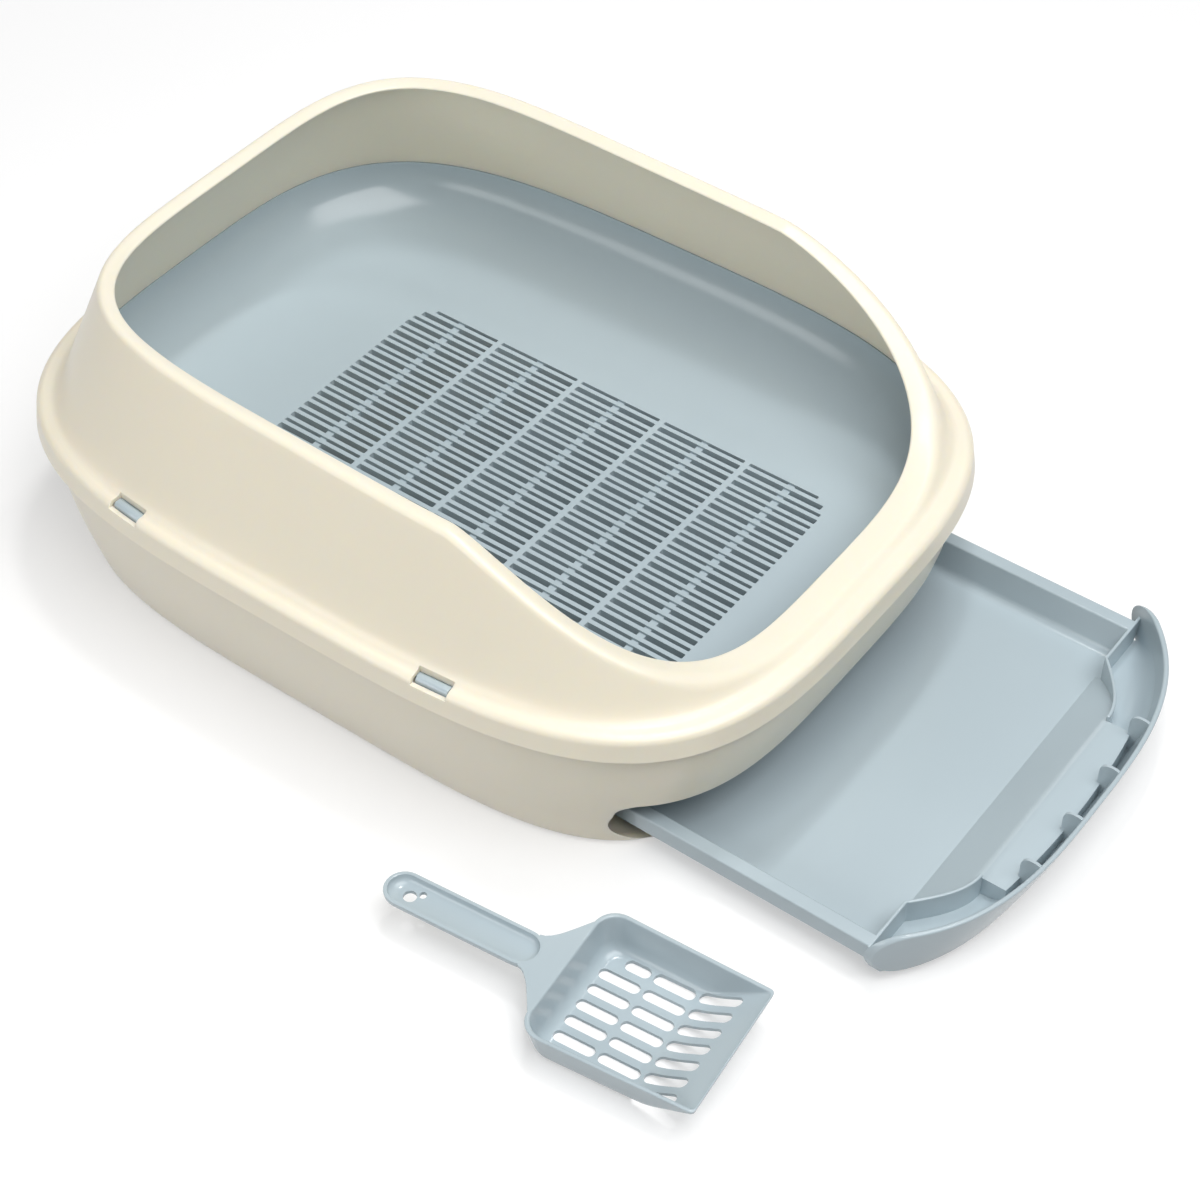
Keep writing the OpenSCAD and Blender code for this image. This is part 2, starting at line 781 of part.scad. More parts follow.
module drawer_front() {
    color(blue_grey)
        intersection() {
            union() {
                translate([0, 0, front_bottom])
                    linear_extrude(front_height)
                        difference() {
                            behind_front(-front_wall);
                            behind_front(0);
                        }
                intersection() {
                    for (i = [0:fin_count - 1])
                        fin((i - (fin_count - 1) / 2) * fin_pitch + fin_offset);
                    linear_extrude(front_top)
                        behind_front(-front_wall / 2);
                }
            }
            translate([drawer_out, 0, front_bottom + front_height / 2])
                rotate([90, 0, 90])
                    linear_extrude(front_a + 1)
                        rounded_rectangle(2 * front_half_width, front_height, front_end_radius);
        }
}

// ---- Scoop ----

pan_back = scoop_length - pan_length;
bend = scoop_length - pan_rise_length;

// Side profile of the pan in X and Z: flat floor, then a rise to the front lip
function pan_profile(inset, low) =
    [[pan_back + pan_lean + inset, low], [bend + inset * 0.3, low],
     [scoop_length, pan_height - scoop_wall + low], [scoop_length + 1, pan_height + low],
     [pan_back + inset, pan_height + low]];

module pan_block(inset, low) {
    half = pan_width / 2 - inset;
    radius = pan_corner - inset;
    intersection() {
        translate([0, 0, low])
            linear_extrude(pan_height)
                polygon(rounded_back(pan_back + inset, half, radius, scoop_length));
        along_x([[-half + pan_lean, low], [half - pan_lean, low],
                 [half, pan_height + low], [-half, pan_height + low]], pan_back, scoop_length);
        across(pan_profile(inset, low), pan_width / 2);
    }
}

module pan_slot(x, y, length) {
    reach = (length - pan_slot_width) / 2;
    translate([x, y, -1])
        linear_extrude(pan_height)
            union() {
                translate([-reach, -pan_slot_width / 2])
                    square([2 * reach, pan_slot_width]);
                for (side = [-1, 1])
                    translate([side * reach, 0])
                        circle(r = pan_slot_width / 2, $fn = 32);
            }
}

// Three columns of slots: the far slot of the first is short, as the pan corner is rounded,
// and the last column lies on the rising front and has one slot more
module pan_slots() {
    first = pan_back + pan_lean + scoop_wall + pan_slot_margin + pan_slot_length / 2;
    for (column = [0:2], row = [0:column == 2 ? 6 : 5]) {
        short = column == 0 && row == 5 ? 10 : 0;
        pan_slot(first + column * (pan_slot_length + 2.3) + short / 2,
                 column == 2 ? (row - 3) * pan_slot_pitch - 1 : (row - 2.5) * pan_slot_pitch + 4,
                 pan_slot_length - short);
    }
}

// Handle in plan: a bar with a round end
module handle_plan(inset, length) {
    translate([handle_width / 2, 0])
        circle(r = handle_width / 2 - inset, $fn = 48);
    translate([handle_width / 2, -handle_width / 2 + inset])
        square([length - handle_width / 2, handle_width - 2 * inset]);
}

// Body of the hollow handle: round ends in plan, round underneath; over is how far it goes past the rim
module trough(inset, end, over) {
    half = handle_width / 2 - inset;
    depth = handle_depth - inset;
    intersection() {
        translate([0, 0, pan_height - depth - 1])
            linear_extrude(depth + 1 + over)
                union() {
                    handle_plan(inset, end - handle_width / 2);
                    translate([end - handle_width / 2, 0])
                        circle(r = half, $fn = 48);
                }
        along_x(concat([for (i = [1:15]) let (angle = 180 + i * 11.25)
                           [half * signed_power(cos(angle), 0.7),
                            pan_height + depth * signed_power(sin(angle), 0.7)]],
                       [[half, pan_height], [half, pan_height + 1], [-half, pan_height + 1], [-half, pan_height]]),
                -1, end + 1);
    }
}

// Flat neck between handle and pan, curving out on both sides
module neck_plan() {
    flare = pan_width / 2 - handle_width / 2;
    start = neck_start;
    polygon(mirrored(concat(
        [for (i = [0:6]) let (t = i / 6)
            [start + (pan_back + pan_corner - start) * t, handle_width / 2 + flare * smooth(t) * 0.98]],
        [[pan_back + pan_corner, handle_width / 2]])));
}

module scoop() {
    trough_end = neck_start + 8;
    color(blue_grey)
        translate([scoop_x, scoop_y, 0])
            rotate([0, 0, scoop_turn])
                difference() {
                    union() {
                        pan_block(0, 0);
                        translate([0, 0, pan_height - scoop_wall])
                            linear_extrude(scoop_wall)
                                union() {
                                    handle_plan(0, neck_start + 2);
                                    neck_plan();
                                }
                        trough(0, trough_end, 0);
                    }
                    pan_block(scoop_wall, scoop_wall);
                    trough(scoop_wall, trough_end, 1);
                    pan_slots();
                    translate([hang_hole_x, 0, 0])
                        cylinder(r = hang_hole_radius, h = pan_height, $fn = 48);
                    translate([hang_hole_x + 6, 4.3, 0])
                        cylinder(r = pin_hole_radius, h = pan_height, $fn = 32);
                }
}

base_tub();
basin_shell();
sieve_plate();
upper_fence();
clip_near_rear();
clip_near_front();
clip_far_rear();
clip_far_front();
drawer_tray();
drawer_front();
scoop();
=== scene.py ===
import math

import bmesh
import bpy
import numpy as np
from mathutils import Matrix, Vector


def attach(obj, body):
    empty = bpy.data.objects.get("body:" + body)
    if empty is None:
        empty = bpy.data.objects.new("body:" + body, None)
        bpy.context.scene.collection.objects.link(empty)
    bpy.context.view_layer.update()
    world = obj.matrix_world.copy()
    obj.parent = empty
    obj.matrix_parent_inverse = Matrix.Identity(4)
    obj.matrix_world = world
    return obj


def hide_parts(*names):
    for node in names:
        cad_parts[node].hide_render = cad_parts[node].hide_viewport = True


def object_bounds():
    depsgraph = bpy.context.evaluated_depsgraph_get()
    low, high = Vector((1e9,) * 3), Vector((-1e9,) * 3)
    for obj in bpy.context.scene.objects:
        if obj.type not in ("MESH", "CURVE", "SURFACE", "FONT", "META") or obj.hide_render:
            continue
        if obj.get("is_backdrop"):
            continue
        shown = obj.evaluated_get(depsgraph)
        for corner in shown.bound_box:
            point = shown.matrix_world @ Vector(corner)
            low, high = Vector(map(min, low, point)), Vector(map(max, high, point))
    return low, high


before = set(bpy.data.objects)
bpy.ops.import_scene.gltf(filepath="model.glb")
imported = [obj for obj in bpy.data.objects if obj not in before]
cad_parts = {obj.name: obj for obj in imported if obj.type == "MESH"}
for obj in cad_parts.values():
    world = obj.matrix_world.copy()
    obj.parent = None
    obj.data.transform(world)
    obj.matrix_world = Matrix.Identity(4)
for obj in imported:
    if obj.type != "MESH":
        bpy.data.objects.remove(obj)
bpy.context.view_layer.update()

# ---------------------------------------------------------------- Studio
# White paper that keeps only the shadow and fades to plain white away from the box. Five lamps: a
# broad overhead panel, a small panel and a strip for the gloss, and weak ones in front and behind.

white = (1.0, 1.0, 1.0, 1.0)


def placed(name, data):
    """A new object in the scene that holds the given mesh, lamp or camera."""
    made = bpy.data.objects.new(name, data)
    bpy.context.scene.collection.objects.link(made)
    return made


def aim(thing, place, target):
    """Puts a lamp or camera at place and turns it towards target."""
    thing.location = place
    thing.rotation_euler = (Vector(target) - Vector(place)).to_track_quat("-Z", "Y").to_euler()


camera_data = bpy.data.cameras.new("studio_camera")
camera_data.sensor_width = 36.0
camera_data.lens = 76.76
camera_data.clip_end = 20.0
camera = placed("studio_camera", camera_data)
aim(camera, (0.7549, -0.9166, 1.1613), (0.0812, -0.0065, 0.0))
bpy.context.scene.camera = camera
bpy.context.scene.view_settings.view_transform = "Standard"


def softbox(name, place, target, size, power):
    """A rectangular studio lamp at place, turned towards target."""
    lamp = bpy.data.lights.new(name, "AREA")
    lamp.shape = "RECTANGLE"
    lamp.size, lamp.size_y = size
    lamp.energy = power
    aim(placed(name, lamp), place, target)


softbox("overhead_panel", (0.95, -0.2, 2.0), (0.05, 0.0, 0.05), (1.9, 1.6), 44.0)
softbox("gloss_panel", (0.0, 0.32, 2.0), (-0.19, 0.12, 0.07), (0.24, 0.2), 7.0)
softbox("strip_panel", (-0.015, 0.89, 1.85), (-0.2, 0.0, 0.07), (0.07, 0.3), 3.5)
softbox("front_panel", (-0.6, -1.9, 0.9), (0.0, 0.0, 0.1), (1.6, 1.0), 15.0)
softbox("back_panel", (-1.2, 1.6, 1.0), (0.0, 0.0, 0.1), (1.4, 1.0), 5.0)


def add(tree, kind, links=None, **settings):
    """Adds a node; links maps an input to an output socket or a value."""
    made = tree.nodes.new(kind)
    for key, value in settings.items():
        setattr(made, key, value)
    for key, value in (links or {}).items():
        if isinstance(value, bpy.types.NodeSocket):
            tree.links.new(value, made.inputs[key])
        else:
            made.inputs[key].default_value = value
    return made


def sums(tree, operation, first, second):
    """The result socket of one step of arithmetic."""
    return add(tree, "ShaderNodeMath", {0: first, 1: second}, operation=operation).outputs[0]


surround = bpy.data.worlds.new("studio_surround")
bpy.context.scene.world = surround
surround.use_nodes = True
sky = surround.node_tree
sky.nodes.clear()
sky_rays = add(sky, "ShaderNodeLightPath").outputs
sky_light = add(sky, "ShaderNodeBackground", {"Color": (0.96, 0.98, 1.0, 1.0), "Strength": 0.07})
sky_white = add(sky, "ShaderNodeBackground", {"Color": white, "Strength": 1.0})
sky_mix = add(sky, "ShaderNodeMixShader",
              {0: sky_rays["Is Camera Ray"], 1: sky_light.outputs[0], 2: sky_white.outputs[0]})
add(sky, "ShaderNodeOutputWorld", {"Surface": sky_mix.outputs[0]})

floor_half = 6.0
floor_mesh = bpy.data.meshes.new("studio_floor")
floor_corners = [(x * floor_half, y * floor_half, 0) for x, y in ((-1, -1), (1, -1), (1, 1), (-1, 1))]
floor_mesh.from_pydata(floor_corners, [], [(0, 1, 2, 3)])
floor = placed("studio_floor", floor_mesh)
floor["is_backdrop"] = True

paper = bpy.data.materials.new("paper_sweep")
paper.use_nodes = True
sweep = paper.node_tree
sweep.nodes.clear()
paper_body = add(sweep, "ShaderNodeBsdfDiffuse", {"Color": (0.55, 0.55, 0.55, 1.0)})
paper_shade = add(sweep, "ShaderNodeBsdfDiffuse", {"Color": (0.6, 0.6, 0.6, 1.0)})
paper_glow = add(sweep, "ShaderNodeEmission", {"Color": white, "Strength": 0.42})
paper_near = add(sweep, "ShaderNodeAddShader", {0: paper_shade.outputs[0], 1: paper_glow.outputs[0]})
paper_far = add(sweep, "ShaderNodeEmission", {"Color": white, "Strength": 1.0})
paper_place = add(sweep, "ShaderNodeTexCoord").outputs["Object"]
paper_reach = add(sweep, "ShaderNodeVectorMath", {0: paper_place}, operation="LENGTH").outputs["Value"]
paper_fade = add(sweep, "ShaderNodeMapRange", {"Value": paper_reach, "From Min": 0.5, "From Max": 1.5},
                 interpolation_type="SMOOTHSTEP").outputs["Result"]
paper_look = add(sweep, "ShaderNodeMixShader",
                 {0: paper_fade, 1: paper_near.outputs[0], 2: paper_far.outputs[0]})
paper_rays = add(sweep, "ShaderNodeLightPath").outputs
seen_directly = sums(sweep, "MAXIMUM", sums(sweep, "MAXIMUM", paper_rays["Is Camera Ray"],
                                            paper_rays["Is Glossy Ray"]), paper_rays["Is Transmission Ray"])
paper_mix = add(sweep, "ShaderNodeMixShader",
                {0: seen_directly, 1: paper_body.outputs[0], 2: paper_look.outputs[0]})
add(sweep, "ShaderNodeOutputMaterial", {"Surface": paper_mix.outputs[0]})
floor_mesh.materials.append(paper)

# ---------------------------------------------------------------- Base tub
# A one-piece tub of cream polypropylene, injection moulded with drafted, softly bellied walls. It
# stands on its flat foot, and its +X wall has a wide low opening for the drawer.

MM = 0.001
tub_height, tub_wall, tub_floor, foot_round, rim_edge, sole_hollow = 110.0, 2.6, 3.0, 6.0, 0.6, 0.6
foot_half_length, foot_half_width, end_lean, side_lean = 244.0, 187.0, 27.0, 17.5
foot_square, rim_square = 4.4, 3.5
opening_half, opening_high, opening_round, sill_round = 168.0, 44.0, 8.0, 27.0
opening_start, opening_end = 120.0, 300.0


def outline(turn, a, b, n):
    """Superellipse of half sizes a and b and squareness n, at the given turns."""
    c, s = np.cos(turn), np.sin(turn)
    return np.stack([a * np.sign(c) * np.abs(c) ** (2 / n),
                     b * np.sign(s) * np.abs(s) ** (2 / n)], -1)


def even_turns(count, n=3.5):
    """Turns at which the points of such an outline lie at even directions."""
    way = np.arange(count) * 2 * math.pi / count
    c, s = np.cos(way), np.sin(way)
    return np.arctan2(np.sign(s) * np.abs(s) ** (n / 2), np.sign(c) * np.abs(c) ** (n / 2))


around = even_turns(384)


def level(flat, z):
    """A plan outline lifted to height z, which may be one number or one per point."""
    return np.column_stack([flat, np.broadcast_to(z, len(flat))])


def smooth_by_angle(mesh, degrees):
    """Shades a mesh smooth, but for edges that turn by more than this."""
    mesh.polygons.foreach_set("use_smooth", [True] * len(mesh.polygons))
    mesh.set_sharp_from_angle(angle=math.radians(degrees))
    mesh.update()


def lofted(name, rings, section="closed"):
    """Object whose skin runs through rings of equal point count, in mm.
    A closed section returns to its first ring; a capped one gets a face at each end."""
    count = len(rings[0])
    points = np.concatenate(rings) * MM
    last = len(rings) if section == "closed" else len(rings) - 1
    faces = []
    for j in range(last):
        low, high = j * count, ((j + 1) % len(rings)) * count
        for i in range(count):
            k = (i + 1) % count
            faces.append((low + i, low + k, high + k, high + i))
    if section == "capped":
        faces.append(tuple(range(count - 1, -1, -1)))
        faces.append(tuple(range((len(rings) - 1) * count, len(rings) * count)))
    mesh = bpy.data.meshes.new(name)
    mesh.from_pydata(points.tolist(), [], faces)
    smooth_by_angle(mesh, 40)
    return placed(name, mesh)


def solid(name, points, faces):
    """Closed mesh object from points in mm, with its normals turned outwards."""
    mesh = bpy.data.meshes.new(name)
    mesh.from_pydata((np.array(points) * MM).tolist(), [], faces)
    work = bmesh.new()
    work.from_mesh(mesh)
    bmesh.ops.recalc_face_normals(work, faces=work.faces)
    work.to_mesh(mesh)
    work.free()
    return placed(name, mesh)


def prism(name, flat, low, high, axis="z"):
    """Prism over a flat outline, drawn out from low to high along the given axis."""
    order = {"x": (2, 0, 1), "y": (0, 2, 1), "z": (0, 1, 2)}[axis]
    count = len(flat)
    points = [[(u, v, w)[i] for i in order] for w in (low, high) for u, v in flat]
    faces = [(i, (i + 1) % count, count + (i + 1) % count, count + i) for i in range(count)]
    faces += [tuple(range(count - 1, -1, -1)), tuple(range(count, 2 * count))]
    return solid(name, points, faces)


def settle(piece):
    """Makes a piece's modifiers part of its mesh."""
    graph = bpy.context.evaluated_depsgraph_get()
    mesh = bpy.data.meshes.new_from_object(piece.evaluated_get(graph))
    piece.modifiers.clear()
    piece.data = mesh
    return piece


def combine(piece, other, operation="UNION"):
    """Adds the other object to a piece, cuts it away or keeps what they share, and uses it up."""
    step = piece.modifiers.new("combine", "BOOLEAN")
    step.operation = operation
    step.solver = "EXACT"
    step.object = other
    settle(piece)
    bpy.data.objects.remove(other)
    return piece


def wall_outline(z, inset=0.0):
    """Tub wall in plan at height z: it leans out towards the rim and is bellied near the foot."""
    part = min(1.0, max(0.0, z) / tub_height)
    share = 1 - (1 - part) ** 2
    squareness = foot_square - (foot_square - rim_square) * part ** 0.4
    return outline(around, foot_half_length + end_lean * share - inset,
                   foot_half_width + side_lean * share - inset, squareness)


def foot_inset(z):
    """How far the round under the tub draws the wall in at height z."""
    return foot_round - math.sqrt(foot_round ** 2 - (foot_round - min(z, foot_round)) ** 2)


outer_levels = [0, 0.3, 1, 2, 3.5, 6, 10, 16, 24, 34, 46, 58, 70, 82, 94, 104, 109.2]
inner_levels = [109.2, 94, 70, 46, 24, 14, 9, 6, 4, tub_floor + 0.2]
tub_rings = [level(wall_outline(0, foot_round + 6), sole_hollow), level(wall_outline(0, foot_round + 5), 0)]
tub_rings += [level(wall_outline(z, foot_inset(z)), z) for z in outer_levels]
tub_rings += [level(wall_outline(tub_height, inset), tub_height)
              for inset in (rim_edge, tub_wall - rim_edge)]
tub_rings += [level(wall_outline(z, tub_wall + foot_inset(z - tub_floor)), z) for z in inner_levels]
tub_rings.append(level(wall_outline(tub_floor, tub_wall + foot_round + 2), tub_floor))
base_tub = lofted("base_tub_shell", tub_rings, "capped")


def opening_outline():
    """Drawer opening in Y and Z, from the tub floor up: tight corners above, wide ones below."""
    half, top, upper, lower = opening_half, opening_high, opening_round, sill_round
    corners = [(half - upper, top - upper, upper, 0), (upper - half, top - upper, upper, 90),
               (lower - half, lower, lower, 180), (half - lower, lower, lower, 270)]
    turned = [(y, z, r, math.radians(start + i * 7.5)) for y, z, r, start in corners for i in range(13)]
    return [(y + r * math.cos(turn), z + r * math.sin(turn) + tub_floor) for y, z, r, turn in turned]


combine(base_tub, prism("drawer_opening", opening_outline(), opening_start, opening_end, "x"), "DIFFERENCE")
smooth_by_angle(base_tub.data, 35)


def moulded_plastic(name, colour, shade, roughness, glow_through):
    """Injection-moulded polypropylene: a soft drift of colour, fine grain, a satin gloss, and a thin
    wall that lets some warm light through."""
    made = bpy.data.materials.new(name)
    made.use_nodes = True
    tree = made.node_tree
    place = add(tree, "ShaderNodeTexCoord").outputs["Object"]
    drift = add(tree, "ShaderNodeTexNoise", {"Vector": place, "Scale": 9.0, "Detail": 3.0}).outputs["Fac"]
    tint = add(tree, "ShaderNodeMix", {"Factor": drift, "A": (*shade, 1.0), "B": (*colour, 1.0)},
               data_type="RGBA")
    finish = add(tree, "ShaderNodeMapRange",
                 {"Value": drift, "To Min": roughness - 0.03, "To Max": roughness + 0.05})
    grain = add(tree, "ShaderNodeTexNoise", {"Vector": place, "Scale": 1400.0, "Detail": 2.0})
    relief = add(tree, "ShaderNodeBump",
                 {"Height": grain.outputs["Fac"], "Strength": 0.05, "Distance": 0.0001})
    body = tree.nodes["Principled BSDF"].inputs
    tree.links.new(tint.outputs["Result"], body["Base Color"])
    tree.links.new(finish.outputs["Result"], body["Roughness"])
    tree.links.new(relief.outputs["Normal"], body["Normal"])
    body["IOR"].default_value = 1.49
    body["Subsurface Weight"].default_value = glow_through
    body["Subsurface Radius"].default_value = (1.0, 0.8, 0.5)
    body["Subsurface Scale"].default_value = 0.006
    return made


def paint(piece, plastic):
    """Gives the whole piece one plastic."""
    piece.data.materials.clear()
    piece.data.materials.append(plastic)


cream = moulded_plastic("cream_polypropylene", (0.885, 0.81, 0.67), (0.87, 0.795, 0.65), 0.3, 0.4)
paint(base_tub, cream)
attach(base_tub, "tub")
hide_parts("base_tub")

# ---------------------------------------------------------------- Sieve basin
# The litter pan: one blue-grey moulding with a bowl-shaped wall, a flange on the tub rim and
# a slotted floor. The bowl is lofted here; the slots are stamped by the node tree below.

blue_grey = moulded_plastic("blue_grey_polypropylene", (0.45, 0.53, 0.57), (0.43, 0.51, 0.55), 0.17, 0.0)
seat_gap, basin_flange, basin_wall, basin_floor = 0.3, 2.5, 2.6, 3.0
basin_top = tub_height + seat_gap + basin_flange
mouth_a, mouth_b, flange_a, flange_b = 258.5, 197.0, 271.0, 204.5
floor_a, floor_b, floor_square = 186.0, 110.0, 5
sieve_level, sieve_x, plate_thick = 67.0, 24.0, 6.0
plate_a, plate_b, plate_square = 171.0, 102.0, 14
sieve_centre = np.array([sieve_x, 0.0])
plate_edge = outline(around, plate_a, plate_b, plate_square) + sieve_centre
bowl_steps = 22


def bowl(share, drop, grow):
    """Ring of the bowl wall, 0 at the flat floor and 1 at the mouth, on a quarter ellipse."""
    low = outline(around, floor_a + grow, floor_b + grow, floor_square) + sieve_centre
    high = outline(around, mouth_a + grow, mouth_b + grow, rim_square)
    rise = 1 - math.sqrt(max(0.0, 1 - share * share))
    return level(low * (1 - share) + high * share, sieve_level - drop + (basin_top - sieve_level) * rise)


shares = [math.sin(math.pi / 2 * i / bowl_steps) for i in range(bowl_steps + 1)]
flange_edge = outline(around, flange_a, flange_b, rim_square)
basin_rings = [level(plate_edge, sieve_level - plate_thick)]
basin_rings += [bowl(share, basin_floor, basin_wall * share if share < 1 else 0) for share in shares]
basin_rings += [level(flange_edge, basin_top - basin_flange), level(flange_edge, basin_top)]
basin_rings += [bowl(share, 0, 0) for share in reversed(shares)]
basin_rings.append(level(plate_edge, sieve_level))
basin = lofted("sieve_basin", basin_rings, "open")

cell, cells, pitch, rows, cross_bar, sieve_corner = 66.0, 5, 6.4, 30, 4.0, 22.0
wide_slot, narrow_slot, slot_round, link_length, link_drop, link_bite = 4.2, 2.6, 0.8, 5.0, 1.7, 0.4
slot_table = []
for row in range(rows):
    y = rows * pitch / 2 - (row + 0.5) * pitch
    from_edge = rows * pitch / 2 - abs(y)
    shorter = 0.0
    if from_edge < sieve_corner:
        shorter = sieve_corner - math.sqrt(sieve_corner ** 2 - (sieve_corner - from_edge) ** 2)
    for column in range(cells):
        start = sieve_x - cells * cell / 2 + column * cell + cross_bar / 2
        end = start + cell - cross_bar
        middle = (start + end) / 2
        start += shorter if column == 0 else 0
        end -= shorter if column == cells - 1 else 0
        width = wide_slot if row % 2 else narrow_slot
        slot_table.append(((start + end) / 2, y, end - start, width, middle))


def marked_points(name, places, **marks):
    """Loose points in mm for a tree to work on, with their own sizes as named attributes."""
    mesh = bpy.data.meshes.new(name)
    mesh.from_pydata([(x * MM, y * MM, z * MM) for x, y, z in places], [], [])
    for label, sizes in marks.items():
        values = mesh.attributes.new(label, "FLOAT", "POINT")
        values.data.foreach_set("value", [size * MM for size in sizes])
    return placed(name, mesh)


sieve = marked_points("sieve_floor", [(x, y, 0) for x, y, *_ in slot_table],
                      slot_length=[slot[2] for slot in slot_table],
                      slot_width=[slot[3] for slot in slot_table], link_x=[slot[4] for slot in slot_table])
edge_mesh = bpy.data.meshes.new("sieve_edge")
edge_mesh.from_pydata(level(plate_edge * MM, 0).tolist(),
                      [(i, (i + 1) % len(plate_edge)) for i in range(len(plate_edge))], [])
sieve_edge = placed("sieve_edge", edge_mesh)


def new_tree(name, **sizes):
    """A geometry node tree with a geometry input and output and named inputs."""
    tree = bpy.data.node_groups.new(name, "GeometryNodeTree")
    tree.interface.new_socket("Geometry", in_out="INPUT", socket_type="NodeSocketGeometry")
    tree.interface.new_socket("Geometry", in_out="OUTPUT", socket_type="NodeSocketGeometry")
    for label, kind in sizes.items():
        tree.interface.new_socket(label.replace("_", " "), in_out="INPUT", socket_type="NodeSocket" + kind)
    return tree, tree.nodes.new("NodeGroupInput").outputs


def mark(tree, label):
    """The socket of a named size that the points carry."""
    return add(tree, "GeometryNodeInputNamedAttribute", {"Name": label}).outputs["Attribute"]


def slot_curves(tree, points, long, wide, radius, steps):
    """One flat rectangle with rounded corners on each point."""
    unit = add(tree, "GeometryNodeCurvePrimitiveQuadrilateral", {"Width": 1.0, "Height": 1.0})
    size = add(tree, "ShaderNodeCombineXYZ", {"X": long, "Y": wide, "Z": 1.0})
    stamps = add(tree, "GeometryNodeInstanceOnPoints",
                 {"Points": points, "Instance": unit.outputs[0], "Scale": size.outputs[0]})
    loose = add(tree, "GeometryNodeRealizeInstances", {"Geometry": stamps.outputs[0]})
    return add(tree, "GeometryNodeFilletCurve",
               {"Curve": loose.outputs[0], "Radius": radius, "Count": steps}, mode="POLY").outputs[0]


def together(tree, *sockets):
    """Joins geometry from several sockets."""
    whole = add(tree, "GeometryNodeJoinGeometry")
    for socket in sockets:
        tree.links.new(socket, whole.inputs[0])
    return whole.outputs[0]


def slab(tree, curve, thickness):
    """Fills flat curves and draws the sheet up into a closed body."""
    sheet = add(tree, "GeometryNodeFillCurve", {"Curve": curve})
    up = add(tree, "GeometryNodeExtrudeMesh", {"Mesh": sheet.outputs[0], "Offset": (0, 0, 1),
                                               "Offset Scale": thickness, "Individual": False})
    under = add(tree, "GeometryNodeFlipFaces", {"Mesh": sheet.outputs[0]})
    both = together(tree, up.outputs["Mesh"], under.outputs[0])
    return add(tree, "GeometryNodeMergeByDistance", {"Geometry": both, "Distance": 0.00001}).outputs[0]


def finish_tree(tree, geometry, plastic):
    """Ends a tree with real geometry in its plastic."""
    real = add(tree, "GeometryNodeRealizeInstances", {"Geometry": geometry})
    painted = add(tree, "GeometryNodeSetMaterial", {"Geometry": real.outputs[0], "Material": plastic})
    add(tree, "NodeGroupOutput", {0: painted.outputs[0]})


def apply_tree(piece, tree, **values):
    """Runs a tree on a piece with the given inputs and keeps the result as a plain mesh."""
    step = piece.modifiers.new(tree.name, "NODES")
    step.node_group = tree
    for item in tree.interface.items_tree:
        key = item.name.replace(" ", "_")
        if item.in_out == "INPUT" and key in values:
            step[item.identifier] = values[key]
    return settle(piece)


plate, given = new_tree("sieve_floor", Edge="Object", Thickness="Float", Corner="Float",
                        Link_length="Float", Link_height="Float", Link_bite="Float", Plastic="Material")
slots = slot_curves(plate, given["Geometry"], mark(plate, "slot_length"), mark(plate, "slot_width"),
                    given["Corner"], 3)
edge_in = add(plate, "GeometryNodeObjectInfo", {"Object": given["Edge"]})
edge_curve = add(plate, "GeometryNodeMeshToCurve", {"Mesh": edge_in.outputs["Geometry"]})
slotted = slab(plate, together(plate, edge_curve.outputs[0], slots), given["Thickness"])
block = add(plate, "GeometryNodeMeshCube", {"Size": (1, 1, 1)})
link_width = sums(plate, "ADD", mark(plate, "slot_width"), given["Link bite"])
link_size = add(plate, "ShaderNodeCombineXYZ",
                {"X": given["Link length"], "Y": link_width, "Z": given["Link height"]})
where = add(plate, "ShaderNodeSeparateXYZ", {0: add(plate, "GeometryNodeInputPosition").outputs[0]})
half_high = sums(plate, "MULTIPLY", given["Link height"], 0.5)
link_spot = add(plate, "ShaderNodeCombineXYZ",
                {"X": mark(plate, "link_x"), "Y": where.outputs["Y"], "Z": half_high})
link_points = add(plate, "GeometryNodeSetPosition",
                  {"Geometry": given["Geometry"], "Position": link_spot.outputs[0]})
links = add(plate, "GeometryNodeInstanceOnPoints",
            {"Points": link_points.outputs[0], "Instance": block.outputs[0], "Scale": link_size.outputs[0]})
finish_tree(plate, together(plate, slotted, links.outputs[0]), given["Plastic"])
apply_tree(sieve, plate, Edge=sieve_edge, Thickness=plate_thick * MM, Corner=slot_round * MM,
           Link_length=link_length * MM, Link_height=(plate_thick - link_drop) * MM,
           Link_bite=link_bite * MM, Plastic=blue_grey)
bpy.data.objects.remove(sieve_edge)
for vertex in sieve.data.vertices:
    vertex.co.z += (sieve_level - plate_thick) * MM

work = bmesh.new()
work.from_mesh(basin.data)
work.from_mesh(sieve.data)
bmesh.ops.remove_doubles(work, verts=work.verts, dist=0.01 * MM)
left_inside = [face for face in work.faces
               if abs(face.normal.z) < 0.1 and sum(len(edge.link_faces) > 2 for edge in face.edges) > 1]
bmesh.ops.delete(work, geom=left_inside, context="FACES")
work.to_mesh(basin.data)
work.free()
bpy.data.objects.remove(sieve)
paint(basin, blue_grey)
smooth_by_angle(basin.data, 35)
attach(basin, "basin")
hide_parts("basin_shell", "sieve_plate")

# ---------------------------------------------------------------- Upper fence
# Cream frame that drops over the basin flange: skirt, flange and a high leaning wall whose top rolls
# over into a flat lip. The lip sweeps down to the entrance above the drawer. Held by four clips.

